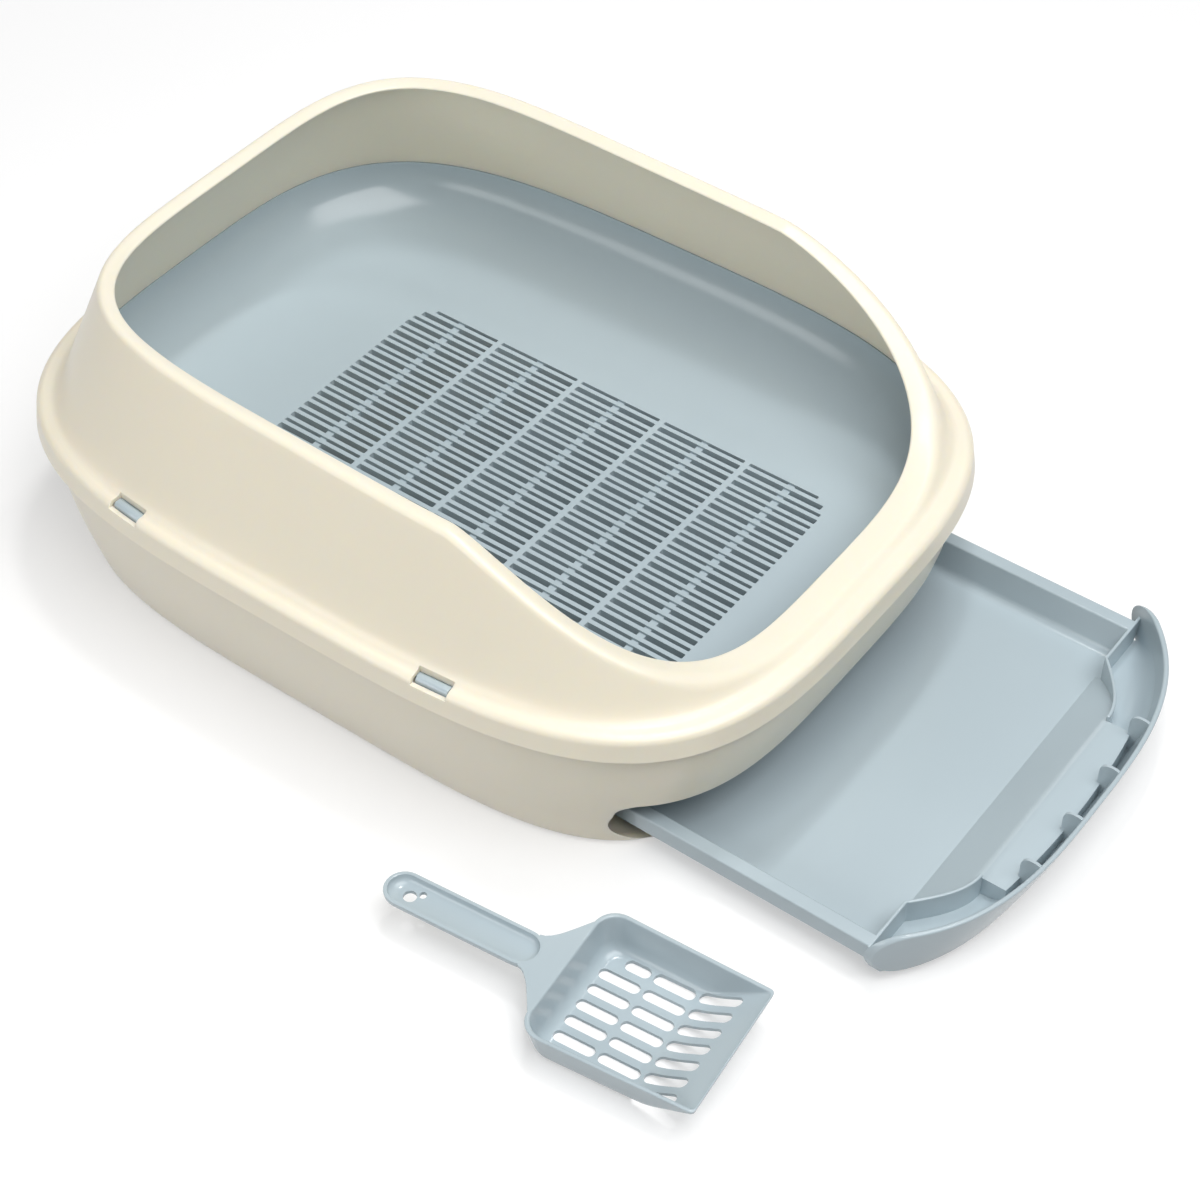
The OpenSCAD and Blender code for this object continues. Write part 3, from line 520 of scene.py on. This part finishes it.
fence_wall, fence_high, fence_dip, entrance_high = 2.8, 86.0, 6.0, 1.5
fall_start, fall_end, fall_bend = 95.0, 240.0, 1.32
end_slant, side_slant, entrance_slant, lip_square = 52.5, 41.0, 22.0, 4.4
high_lip, low_lip, lip_crown, lip_edge = 9.5, 18.5, 2.9, 1.2
foot_turn, lip_turn, turn_share = 11.0, 8.0, 0.45
skirt_a, skirt_b, skirt_high, skirt_flare, shoulder_round = 277.0, 213.0, 16.5, 1.5, 5.0
end_flange, side_flange = 13.5, 11.0
flange_top = basin_top + seat_gap + fence_wall
skirt_bottom = flange_top - skirt_high
toe_a, toe_b = skirt_a - skirt_flare - end_flange, skirt_b - skirt_flare - side_flange


def mix(p, q, k):
    """The place at share k on the way from p to q."""
    return p * (1 - k) + q * k


def arc_between(start, corner, end, steps):
    """Points of a rounded corner in a section."""
    start, corner, end = map(np.array, (start, corner, end))
    return [mix(mix(start, corner, t), mix(corner, end, t), t) for t in np.linspace(0, 1, steps)]


def fence_rise(x):
    """Height of the lip above the flange: a gentle dip along the sides, then the fall."""
    dip = np.clip((x + toe_a / 2) / (fall_start + toe_a / 2), 0, 1)
    fall = np.clip((x - fall_start) / (fall_end - fall_start), 0, 1)
    return fence_high - fence_dip * dip - (fence_high - fence_dip - entrance_high) * fall ** fall_bend


toe = outline(around, toe_a, toe_b, rim_square)
full_lip = outline(around, toe_a - end_slant, toe_b - side_slant, lip_square)
lip = toe
for _ in range(4):
    rise = fence_rise(lip[:, 0])
    lip = mix(toe, full_lip, mix(entrance_slant / end_slant, 1, rise / fence_high)[:, None])
reach = np.linalg.norm(lip - toe, axis=1)
inwards = (lip - toe) / reach[:, None]
height_share = rise / fence_high
lip_width = np.minimum(reach - 2, mix(low_lip, high_lip, height_share))


def fence_rings_over():
    """Rings from the foot of the wall over the round turn and the flat lip, and down the inner face."""
    def pair(inside, above):
        return np.stack([np.broadcast_to(inside, reach.shape), np.broadcast_to(above, reach.shape)], -1)

    crest = rise + lip_crown * height_share
    wall = reach - lip_width
    slant = np.hypot(wall, crest)
    foot = np.minimum(foot_turn, turn_share * slant)
    turn = np.minimum(lip_turn, np.minimum(turn_share * slant, turn_share * lip_width))
    base, corner, edge = pair(0, 0), pair(wall, crest), pair(reach, rise)
    low = mix(base, corner, (foot / slant)[:, None])
    high = mix(corner, base, (turn / slant)[:, None])
    flat = mix(corner, edge, (turn / lip_width)[:, None])
    places = arc_between(pair(-0.5 * foot, 0), base, low, 7)
    places += [mix(low, high, t) for t in (0.15, 0.35, 0.55, 0.75, 0.9)]
    places += arc_between(high, corner, flat, 9)
    places += [mix(flat, pair(reach - 1.3, rise), 0.5), pair(reach - 1.3, rise + 0.1 * height_share)]
    places += [pair(reach - lip_edge + lip_edge * math.sin(t), rise - lip_edge + lip_edge * math.cos(t))
               for t in (0.4, 0.8, 1.2, 1.57)]
    places += [pair(reach - 0.6, rise - 2.2), pair(reach - 3, rise - 2.6 + 9 / lip_width * height_share)]
    inner = pair(wall + fence_wall * crest / slant, crest - fence_wall)
    under = pair(fence_wall + 0.25 * wall, 0.25 * crest - 1)
    places += [inner, mix(inner, under, 0.35), mix(inner, under, 0.7), under]
    return [level(toe + inwards * p[:, :1], flange_top + p[:, 1]) for p in places]


def shoulder(radius, steps):
    """Rings of the rounded shoulder, from the flange out and down to the skirt."""
    rings = []
    for j in range(steps + 1):
        angle = math.pi / 2 * j / steps
        out = radius * math.sin(angle) - skirt_flare - shoulder_round
        rings.append(level(outline(around, skirt_a + out, skirt_b + out, rim_square),
                           flange_top - shoulder_round + radius * math.cos(angle)))
    return rings


def skirt_ring(inset, z):
    """Ring of the skirt, inset from its outer face."""
    return level(outline(around, skirt_a - inset, skirt_b - inset, rim_square), z)


fence_rings = [skirt_ring(0.6, skirt_bottom), skirt_ring(0, skirt_bottom + 0.6)]
fence_rings += shoulder(shoulder_round, 8)[::-1] + fence_rings_over()
fence_rings.append(level(outline(around, toe_a - fence_wall, toe_b - fence_wall, rim_square),
                         basin_top + seat_gap))
fence_rings += shoulder(shoulder_round - fence_wall, 4)
fence_rings.append(skirt_ring(fence_wall, skirt_bottom))
fence = lofted("upper_fence_frame", fence_rings)

clip_rear, clip_front = -122.0, 112.0
window_half, window_in, window_out, window_high = 11.9, 10.5, 8.0, 4.5


def flange_half(x):
    """Half width of the flange edge at the place x."""
    part = abs(x) / (skirt_a - skirt_flare)
    return (skirt_b - skirt_flare) * (1 - part ** rim_square) ** (1 / rim_square)


for x, side in ((clip_rear, -1), (clip_front, -1), (clip_rear, 1), (clip_front, 1)):
    y, turn = side * flange_half(x), side * math.atan2(flange_half(x + 5) - flange_half(x - 5), 10)
    corners = ((-window_half, -window_in), (window_half, -window_in),
               (window_half, window_out), (-window_half, window_out))
    window = [(x + u * math.cos(turn) - v * side * math.sin(turn),
               y + u * math.sin(turn) + v * side * math.cos(turn)) for u, v in corners]
    combine(fence, prism("clip_window", window, flange_top - window_high, flange_top + window_high),
            "DIFFERENCE")
smooth_by_angle(fence.data, 40)
paint(fence, cream)
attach(fence, "fence")
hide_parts("upper_fence")

# ---------------------------------------------------------------- Waste drawer
# One blue-grey moulding: a shallow tray with flat rails that run in the tub opening, a thin front
# wall, a ramp up to a platform, and a curved front band with a finger slot crossed by four fins.

tray_bottom, tray_top, tray_floor, tray_wall, wall_draft = 3.3, 27.8, 5.8, 2.5, 6.0
tray_back, tray_front, rail_out, rail_in, back_radius = -51.8, 371.7, 153.0, 144.0, 22.0
rail_under, rail_foot = 25.3, 15.3
wall_thick, wall_start, wall_corner, wall_bottom = 2.0, 135.0, 115.0, 4.0
platform_start, platform_level, platform_half, platform_reach, platform_bow = 395.7, 24.3, 73.0, 417.6, 5.0
ramp_foot, ramp_half, ramp_under = 366.0, 116.5, 8.5
drawer_out, band_thick, band_half, band_low, band_high, band_edge = 171.5, 3.0, 162.5, 7.0, 42.0, 1.3
band_front, band_side, band_square, band_round, near_shorter = 242.0, 197.0, 3.47, 16.0, 5.0
pocket_floor, pocket_under, pocket_round, finger_round = 10.5, 8.0, 14.0, 2.5


def ease(piece, width, segments=2, degrees=40):
    """Rounds the moulded edges of a piece."""
    step = piece.modifiers.new("ease", "BEVEL")
    step.width = width * MM
    step.segments = segments
    step.limit_method = "ANGLE"
    step.angle_limit = math.radians(degrees)
    step.use_clamp_overlap = True
    return settle(piece)


def flat_faces(piece):
    """Keeps the shading of large flat faces flat beside their rounded edges."""
    step = piece.modifiers.new("flat_faces", "WEIGHTED_NORMAL")
    step.keep_sharp = True
    return settle(piece)


def tray_outline(out):
    """Plan of the tray, out from its inner rim: round at the back, square and overlong in front."""
    half, radius = rail_in + out, max(3.0, back_radius + out)
    back = tray_back + rail_out - rail_in - out
    turn = np.radians(np.linspace(0, 90, 13))
    far = np.column_stack([back + radius * (1 - np.sin(turn)), half - radius * (1 - np.cos(turn))])
    front = np.array([[tray_front + 12, -half], [tray_front + 12, half]])
    return np.concatenate([front, far, far[::-1] * (1, -1)])


def draft(z):
    """How far the tray wall stands out at height z: it leans in by its draft towards the floor."""
    return -wall_draft * (tray_top - z) / (tray_top - tray_bottom)


rail = rail_out - rail_in
foot = draft(tray_bottom)
section = [(foot - 8, tray_bottom)]
section += arc_between((foot - 1.5, tray_bottom), (foot + tray_wall, tray_bottom),
                       (draft(7) + tray_wall, 7), 5)
section += [(draft(25) + tray_wall, rail_under), (rail - tray_wall, rail_under), (rail - tray_wall, 16.0),
            (rail - tray_wall + 0.5, rail_foot), (rail - 0.5, rail_foot), (rail, rail_foot + 0.5)]
section += arc_between((rail, tray_top - 1.4), (rail, tray_top), (rail - 1.4, tray_top), 5)
section += arc_between((1.3, tray_top), (0, tray_top), (draft(26.5), 26.5), 5)
section += arc_between((draft(11), 11), (draft(tray_floor), tray_floor),
                       (draft(tray_floor) - 5, tray_floor), 7)
section.append((draft(tray_floor) - 14, tray_floor))
drawer = lofted("waste_drawer", [level(tray_outline(out), z) for out, z in section], "capped")
beyond = [(tray_front + 1, -200), (420, -200), (420, 200), (tray_front + 1, 200)]
combine(drawer, prism("front_end", beyond, -5, 40), "DIFFERENCE")


def band_reach(y, z, inset=0.0):
    """Place along X of the front band: like the tub wall behind it, it is bellied and leans in below."""
    share = 1 - (1 - z / tub_height) ** 2
    squareness = band_square - 0.01 * z
    part = abs(y) / (band_side + 1.6 * share - inset)
    ahead = band_front + end_lean * share - inset
    return drawer_out + ahead * (1 - part ** squareness) ** (1 / squareness)


def platform_edge(y):
    """Place along X of the front edge of the platform."""
    return platform_reach - platform_bow * (y / platform_half) ** 2


def along_y(name, sections):
    """Closed solid through sections of equal point count."""
    count = len(sections[0])
    faces = []
    for j in range(len(sections) - 1):
        here, there = j * count, (j + 1) * count
        for i in range(count):
            k = (i + 1) % count
            faces.append((here + i, here + k, there + k, there + i))
    total = len(sections) * count
    faces += [tuple(range(count)), tuple(range(total - 1, total - count - 1, -1))]
    return solid(name, [point for row in sections for point in row], faces)


turns = np.linspace(0, 1, 17)
wall_bend = np.column_stack([tray_front + (platform_start - tray_front) * np.sin(turns * math.pi / 2),
                             wall_corner + (platform_half - wall_corner) * turns])
wall_line = np.concatenate([[[tray_front, 159.5], [tray_front, wall_start]], wall_bend])
ways = np.gradient(wall_line, axis=0)
ways /= np.linalg.norm(ways, axis=1)[:, None]
outwards = np.column_stack([-ways[:, 1], ways[:, 0]])
wall_outer = wall_line + wall_thick * outwards
# Each end of the wall stays behind the round end of the band, which is shorter on the near side.
tab_start, tab_middle, tab_radius = 134.0, 24.0, 15.5
for side, round_start, low_end, high_end in ((1, 144.0, 158.0, 159.5), (-1, 138.5, 152.5, 154.0)):
    ribbon = np.concatenate([wall_line[1:], wall_outer[:0:-1]]) * (1, side)
    combine(drawer, ease(prism("front_wall", ribbon, wall_bottom, tray_top), 0.7, 3))
    tab = [(side * y, tab_middle - math.sqrt(tab_radius ** 2 - max(0, y - round_start) ** 2))
           for y in [tab_start, *np.linspace(round_start, low_end, 7)]]
    tab += [(side * high_end, tab_middle), (side * high_end, tray_top), (side * tab_start, tray_top)]
    combine(drawer, ease(prism("wall_end", tab, tray_front, tray_front + wall_thick, "x"), 0.6, 3))

crest = arc_between((platform_start - 3, platform_level - 1.98), (platform_start, platform_level),
                    (platform_start + 4, platform_level), 6)
profile = [(ramp_foot + 0.5, wall_bottom), (ramp_foot + 0.5, 5.0), *[tuple(point) for point in crest],
           (440, platform_level), (440, ramp_under), (408, ramp_under), (400, wall_bottom)]
ramp = prism("ramp", profile, -ramp_half - 1.5, ramp_half + 1.5, "y")
inside_wall = wall_line[2:] + 0.5 * wall_thick * outwards[2:]
edge_line = [[platform_edge(y), y] for y in np.linspace(platform_half, -platform_half, 25)]
ramp_plan = np.concatenate([[[ramp_foot, ramp_half]], inside_wall, edge_line,
                            inside_wall[::-1] * (1, -1), [[ramp_foot, -ramp_half]]])
combine(ramp, prism("ramp_plan", ramp_plan, 0, 60), "INTERSECT")
combine(drawer, ease(ramp, 0.8, 3, 50))


def sill_clear(y, radius):
    """Height that keeps clear of the round lower corner of the tub opening."""
    past = max(0.0, abs(y) - (opening_half - sill_round))
    return tub_floor + sill_round - math.sqrt(radius ** 2 - past ** 2)


def pocket(name, places, radius):
    """Floor behind the front band: flat, then rounded up into the band; it lifts clear of the sill."""
    sections = []
    for y in places:
        floor_top = max(pocket_floor, sill_clear(y, sill_round - 3.4))
        under = max(pocket_under, sill_clear(y, sill_round - 1.2))
        inner_x = np.interp(abs(y), wall_line[:0:-1, 1], wall_line[:0:-1, 0])
        wall_x = inner_x + 0.5 if abs(y) > platform_half else platform_edge(y) - 0.5
        bend = min(radius, 0.75 * (band_reach(y, floor_top, band_thick) - wall_x))
        if bend < 0.3:
            continue
        top = floor_top + bend
        rise = []
        for turn in np.radians(np.linspace(0, 90, 9)):
            z = floor_top + bend * (1 - math.cos(turn))
            rise.append((band_reach(y, z, band_thick) - bend * (1 - math.sin(turn)), y, z))
        sections.append([(wall_x, y, under), (wall_x, y, floor_top), *rise,
                         (band_reach(y, top, band_thick / 2), y, top),
                         (band_reach(y, under, band_thick / 2), y, under)])
    return along_y(name, sections)


for side, pocket_end in ((1, 159.5), (-1, 151.0)):
    places = side * np.linspace(platform_half + 0.05, pocket_end, 31)
    combine(drawer, pocket("pocket", places, pocket_round))
places = np.linspace(-platform_half - 0.1, platform_half + 0.1, 31)
combine(drawer, pocket("slot_floor", places, finger_round))

depths = band_thick * (1 - np.cos(np.linspace(0, math.pi, 9))) / 2
from_face = np.minimum(np.minimum(depths, band_thick - depths), band_edge)
edge_drop = band_edge - np.sqrt(band_edge ** 2 - (band_edge - from_face) ** 2)
far_end = band_half - band_round + band_round * np.sin(np.radians(np.linspace(0, 90, 11)))
near_end = near_shorter - far_end
band = []
for y in [*near_end[:0:-1], *np.linspace(near_end[0], far_end[0], 71), *far_end[1:]]:
    past = max(0.0, y - far_end[0], near_end[0] - y)
    drop = band_round - math.sqrt(max(0.0, band_round ** 2 - past ** 2))
    low, high = band_low + drop, band_high - drop
    rise = np.linspace(low + band_edge, high - band_edge, 9)[1:-1]
    ring = [(0.0, z) for z in rise] + list(zip(depths, high - edge_drop))
    ring += [(band_thick, z) for z in rise[::-1]] + list(zip(depths[::-1], low + edge_drop))
    band.append([(band_reach(y, z, depth), y, z) for depth, z in ring])
combine(drawer, along_y("front_band", band))

fins = marked_points("drawer_fins", [(0, 0, 0)])
fin_tree, given = new_tree("fin_row", Count="Int", Pitch="Float", Offset="Float", Depth="Float",
                           Height="Float", Thickness="Float", Corner="Float", Edge="Float", Bow="Float",
                           Base="Float", Plastic="Material")
index = add(fin_tree, "GeometryNodeInputIndex").outputs[0]
middle = sums(fin_tree, "MULTIPLY", sums(fin_tree, "SUBTRACT", given["Count"], 1.0), 0.5)
from_middle = sums(fin_tree, "MULTIPLY", sums(fin_tree, "SUBTRACT", index, middle), given["Pitch"])
place_y = sums(fin_tree, "ADD", from_middle, given["Offset"])
bowed = sums(fin_tree, "MULTIPLY", sums(fin_tree, "MULTIPLY", place_y, place_y), given["Bow"])
place_x = sums(fin_tree, "SUBTRACT", given["Edge"], bowed)
fin_place = add(fin_tree, "ShaderNodeCombineXYZ", {"X": place_x, "Y": place_y, "Z": given["Base"]})
fin_line = add(fin_tree, "GeometryNodeMeshLine", {"Count": given["Count"]})
spread = add(fin_tree, "GeometryNodeSetPosition",
             {"Geometry": fin_line.outputs[0], "Position": fin_place.outputs[0]})
leaf = add(fin_tree, "GeometryNodeCurvePrimitiveQuadrilateral",
           {"Width": given["Depth"], "Height": given["Height"]})
leaf_round = add(fin_tree, "GeometryNodeFilletCurve",
                 {"Curve": leaf.outputs[0], "Radius": given["Corner"], "Count": 6}, mode="POLY")
fin_body = slab(fin_tree, leaf_round.outputs[0], given["Thickness"])
fin_row = add(fin_tree, "GeometryNodeInstanceOnPoints",
              {"Points": spread.outputs[0], "Instance": fin_body, "Rotation": (math.pi / 2, 0, 0)})
finish_tree(fin_tree, fin_row.outputs[0], given["Plastic"])
apply_tree(fins, fin_tree, Count=4, Pitch=43.5 * MM, Offset=7.5 * MM, Depth=15.0 * MM, Height=30.0 * MM,
           Thickness=2.0 * MM, Corner=6.5 * MM, Edge=423.0 * MM, Bow=0.8, Base=26.5 * MM, Plastic=blue_grey)
ease(fins, 0.6, 2)
fin_low, fin_high, fin_back = 9.5, 41.8, 380.0
fin_limits = [[(fin_back, y, fin_low),
               *[(band_reach(y, z, band_thick / 2), y, z) for z in (fin_low, 20, 30, fin_high)],
               (fin_back, y, fin_high)] for y in np.linspace(-90, 90, 31)]
combine(fins, along_y("fin_limit", fin_limits), "INTERSECT")
combine(drawer, fins)
smooth_by_angle(drawer.data, 32)
flat_faces(drawer)
paint(drawer, blue_grey)
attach(drawer, "drawer")
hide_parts("drawer_tray", "drawer_front")

# ---------------------------------------------------------------- Flange clips
# Four blue-grey lugs of the basin rim that snap into the windows of the fence flange. They keep
# the form of their solids, with their moulded edges eased.

clip_nodes = ["clip_near_rear", "clip_near_front", "clip_far_rear", "clip_far_front"]
work = bmesh.new()
for clip_node in clip_nodes:
    work.from_mesh(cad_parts[clip_node].data)
bmesh.ops.remove_doubles(work, verts=work.verts, dist=0.005 * MM)
bmesh.ops.dissolve_limit(work, angle_limit=math.radians(1), verts=work.verts, edges=work.edges)
clip_mesh = bpy.data.meshes.new("flange_clips")
work.to_mesh(clip_mesh)
work.free()
clips = ease(placed("flange_clips", clip_mesh), 0.4, 2, 35)
smooth_by_angle(clips.data, 40)
paint(clips, blue_grey)
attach(clips, "basin")
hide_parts(*clip_nodes)

# ---------------------------------------------------------------- Litter scoop
# A loose blue-grey moulding that lies beside the box: a hollow handle with hanging holes, a flat
# flaring neck, and a deep pan with slots and a front that rises to its lip.

scoop_wall, pan_back, pan_bend, pan_front, pan_high, pan_half = 2.4, 115.0, 185.0, 223.0, 26.0, 47.9
pan_corner, pan_taper, pan_lean = 14.0, 2.5, 5.0
handle_half, handle_deep, handle_end = 12.0, 8.0, 102.0
neck_start, neck_length, neck_flare = 94.0, 35.0, 35.3
slot_width, slot_length, slot_step, slot_pitch, first_slot = 7.3, 26.0, 28.3, 12.0, 138.9
scoop_turn, scoop_x, scoop_y = math.radians(5.5), 130.0, -273.5


def pan_ring(inset, front, z):
    """Plan of the pan at height z: round at the back and a little narrower towards its front."""
    back, corner = pan_back + inset, pan_corner - 0.5 * inset
    half = pan_half - inset
    front_half = half - pan_taper * (front - pan_back) / (pan_front - pan_back)
    side = arc_between((front - 3, front_half), (front, front_half), (front, front_half - 3), 5)[::-1]
    side += [(x, mix(front_half, half, (front - 3 - x) / (front - 3 - back - corner)))
             for x in np.linspace(front - 3, back + corner, 12)[1:-1]]
    turns = np.radians(np.linspace(0, 90, 10))
    side += [(back + corner * (1 - math.sin(t)), half - corner * (1 - math.cos(t))) for t in turns]
    side = np.array(side)
    return level(np.concatenate([side, side[::-1] * (1, -1)]), z)


def pan_bowl(wall, floor, lean):
    """Rings from the rim down to the floor: wall and rise meet it in a wide round."""
    def front(z):
        slope = (pan_front - pan_bend) / (pan_high - scoop_wall)
        return min(pan_front - 1.2 * (floor > 0), pan_bend + slope * (z - floor))

    rings = [(wall + lean * (1 - z / pan_high), front(z), z) for z in (25.2, 23.4, 20, 15)]
    start = (wall + 0.62 * lean, front(10), 10)
    bend = arc_between(start, (wall + lean, pan_bend, floor), (wall + lean + 6, pan_bend - 8, floor), 9)
    return [pan_ring(*ring) for ring in rings + bend]


def stadium(half, z):
    """Plan of the handle: a bar with round ends."""
    turn = np.radians(np.linspace(-90, 90, 15))
    right = np.column_stack([handle_end - handle_half + half * np.cos(turn), half * np.sin(turn)])
    left = np.column_stack([handle_half - half * np.cos(turn), -half * np.sin(turn)])
    return level(np.concatenate([right, left]), z)


def trough(half, deep):
    """Rings from the rim of the handle down to its round floor."""
    turns = np.linspace(0.12, 1.5, 10)
    return [stadium(half * math.cos(t) ** 0.7, pan_high - deep * math.sin(t) ** 0.7) for t in turns]


pan_rim = [pan_ring(*ring) for ring in ((0, 223, 25.3), (0.2, 222.9, 25.8), (0.8, 222.6, 26),
                                        (1.6, 222.3, 26), (2.2, 222.1, 25.8))]
scoop = lofted("litter_scoop", pan_bowl(0, 0, pan_lean)[::-1] + pan_rim
               + pan_bowl(scoop_wall, scoop_wall, pan_lean - 0.4), "capped")
handle_rim = [stadium(half, z) for half, z in ((12, 25.4), (11.8, 25.85), (11.3, 26), (10.3, 26),
                                               (9.8, 25.85))]
handle = lofted("scoop_handle", trough(handle_half, handle_deep)[::-1] + handle_rim
                + trough(handle_half - scoop_wall, handle_deep - scoop_wall), "capped")
neck_side = [(neck_start + neck_length * k, handle_half + neck_flare * k * k * (3 - 2 * k))
             for k in np.linspace(0, 1, 13)]
neck_plan = neck_side + [(x, -y) for x, y in neck_side[::-1]]
neck = ease(prism("scoop_neck", neck_plan, pan_high - scoop_wall, pan_high), 0.5, 2)
for void in ([pan_ring(1.4, 221, z) for z in (20, 40)], [stadium(10.8, z) for z in (20, 40)]):
    combine(neck, lofted("void", void, "capped"), "DIFFERENCE")
combine(handle, neck)
combine(scoop, handle)

slot_rows = []
for column, row_count, row_shift in ((0, 6, 4), (1, 6, 4), (2, 7, -1)):
    for row in range(row_count):
        short = 10 if column == 0 and row == row_count - 1 else 0
        y = (row - (row_count - 1) / 2) * slot_pitch + row_shift
        slot_rows.append((first_slot + column * slot_step + short / 2, y, slot_length - short))
slot_cutter = marked_points("scoop_slots", [(x, y, -1.0) for x, y, _ in slot_rows],
                            slot_length=[slot[2] for slot in slot_rows])
stamp, given = new_tree("scoop_slots", Width="Float", Height="Float", Plastic="Material")
bars = slot_curves(stamp, given["Geometry"], mark(stamp, "slot_length"), given["Width"],
                   sums(stamp, "MULTIPLY", given["Width"], 0.49), 8)
finish_tree(stamp, slab(stamp, bars, given["Height"]), given["Plastic"])
apply_tree(slot_cutter, stamp, Width=slot_width * MM, Height=24.0 * MM, Plastic=blue_grey)
combine(scoop, slot_cutter, "DIFFERENCE")
for x, y, radius in ((15.5, 0, 4.0), (21.5, 4.3, 2.2)):
    turns = np.linspace(0, 2 * math.pi, 33)[:-1]
    hole = [(x + radius * math.cos(t), y + radius * math.sin(t)) for t in turns]
    combine(scoop, prism("hang_hole", hole, 10, 40), "DIFFERENCE")
for vertex in scoop.data.vertices:
    x, y, _ = vertex.co
    vertex.co.x = x * math.cos(scoop_turn) - y * math.sin(scoop_turn) + scoop_x * MM
    vertex.co.y = x * math.sin(scoop_turn) + y * math.cos(scoop_turn) + scoop_y * MM
smooth_by_angle(scoop.data, 42)
flat_faces(scoop)
paint(scoop, blue_grey)
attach(scoop, "scoop")
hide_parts("scoop")

low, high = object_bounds()
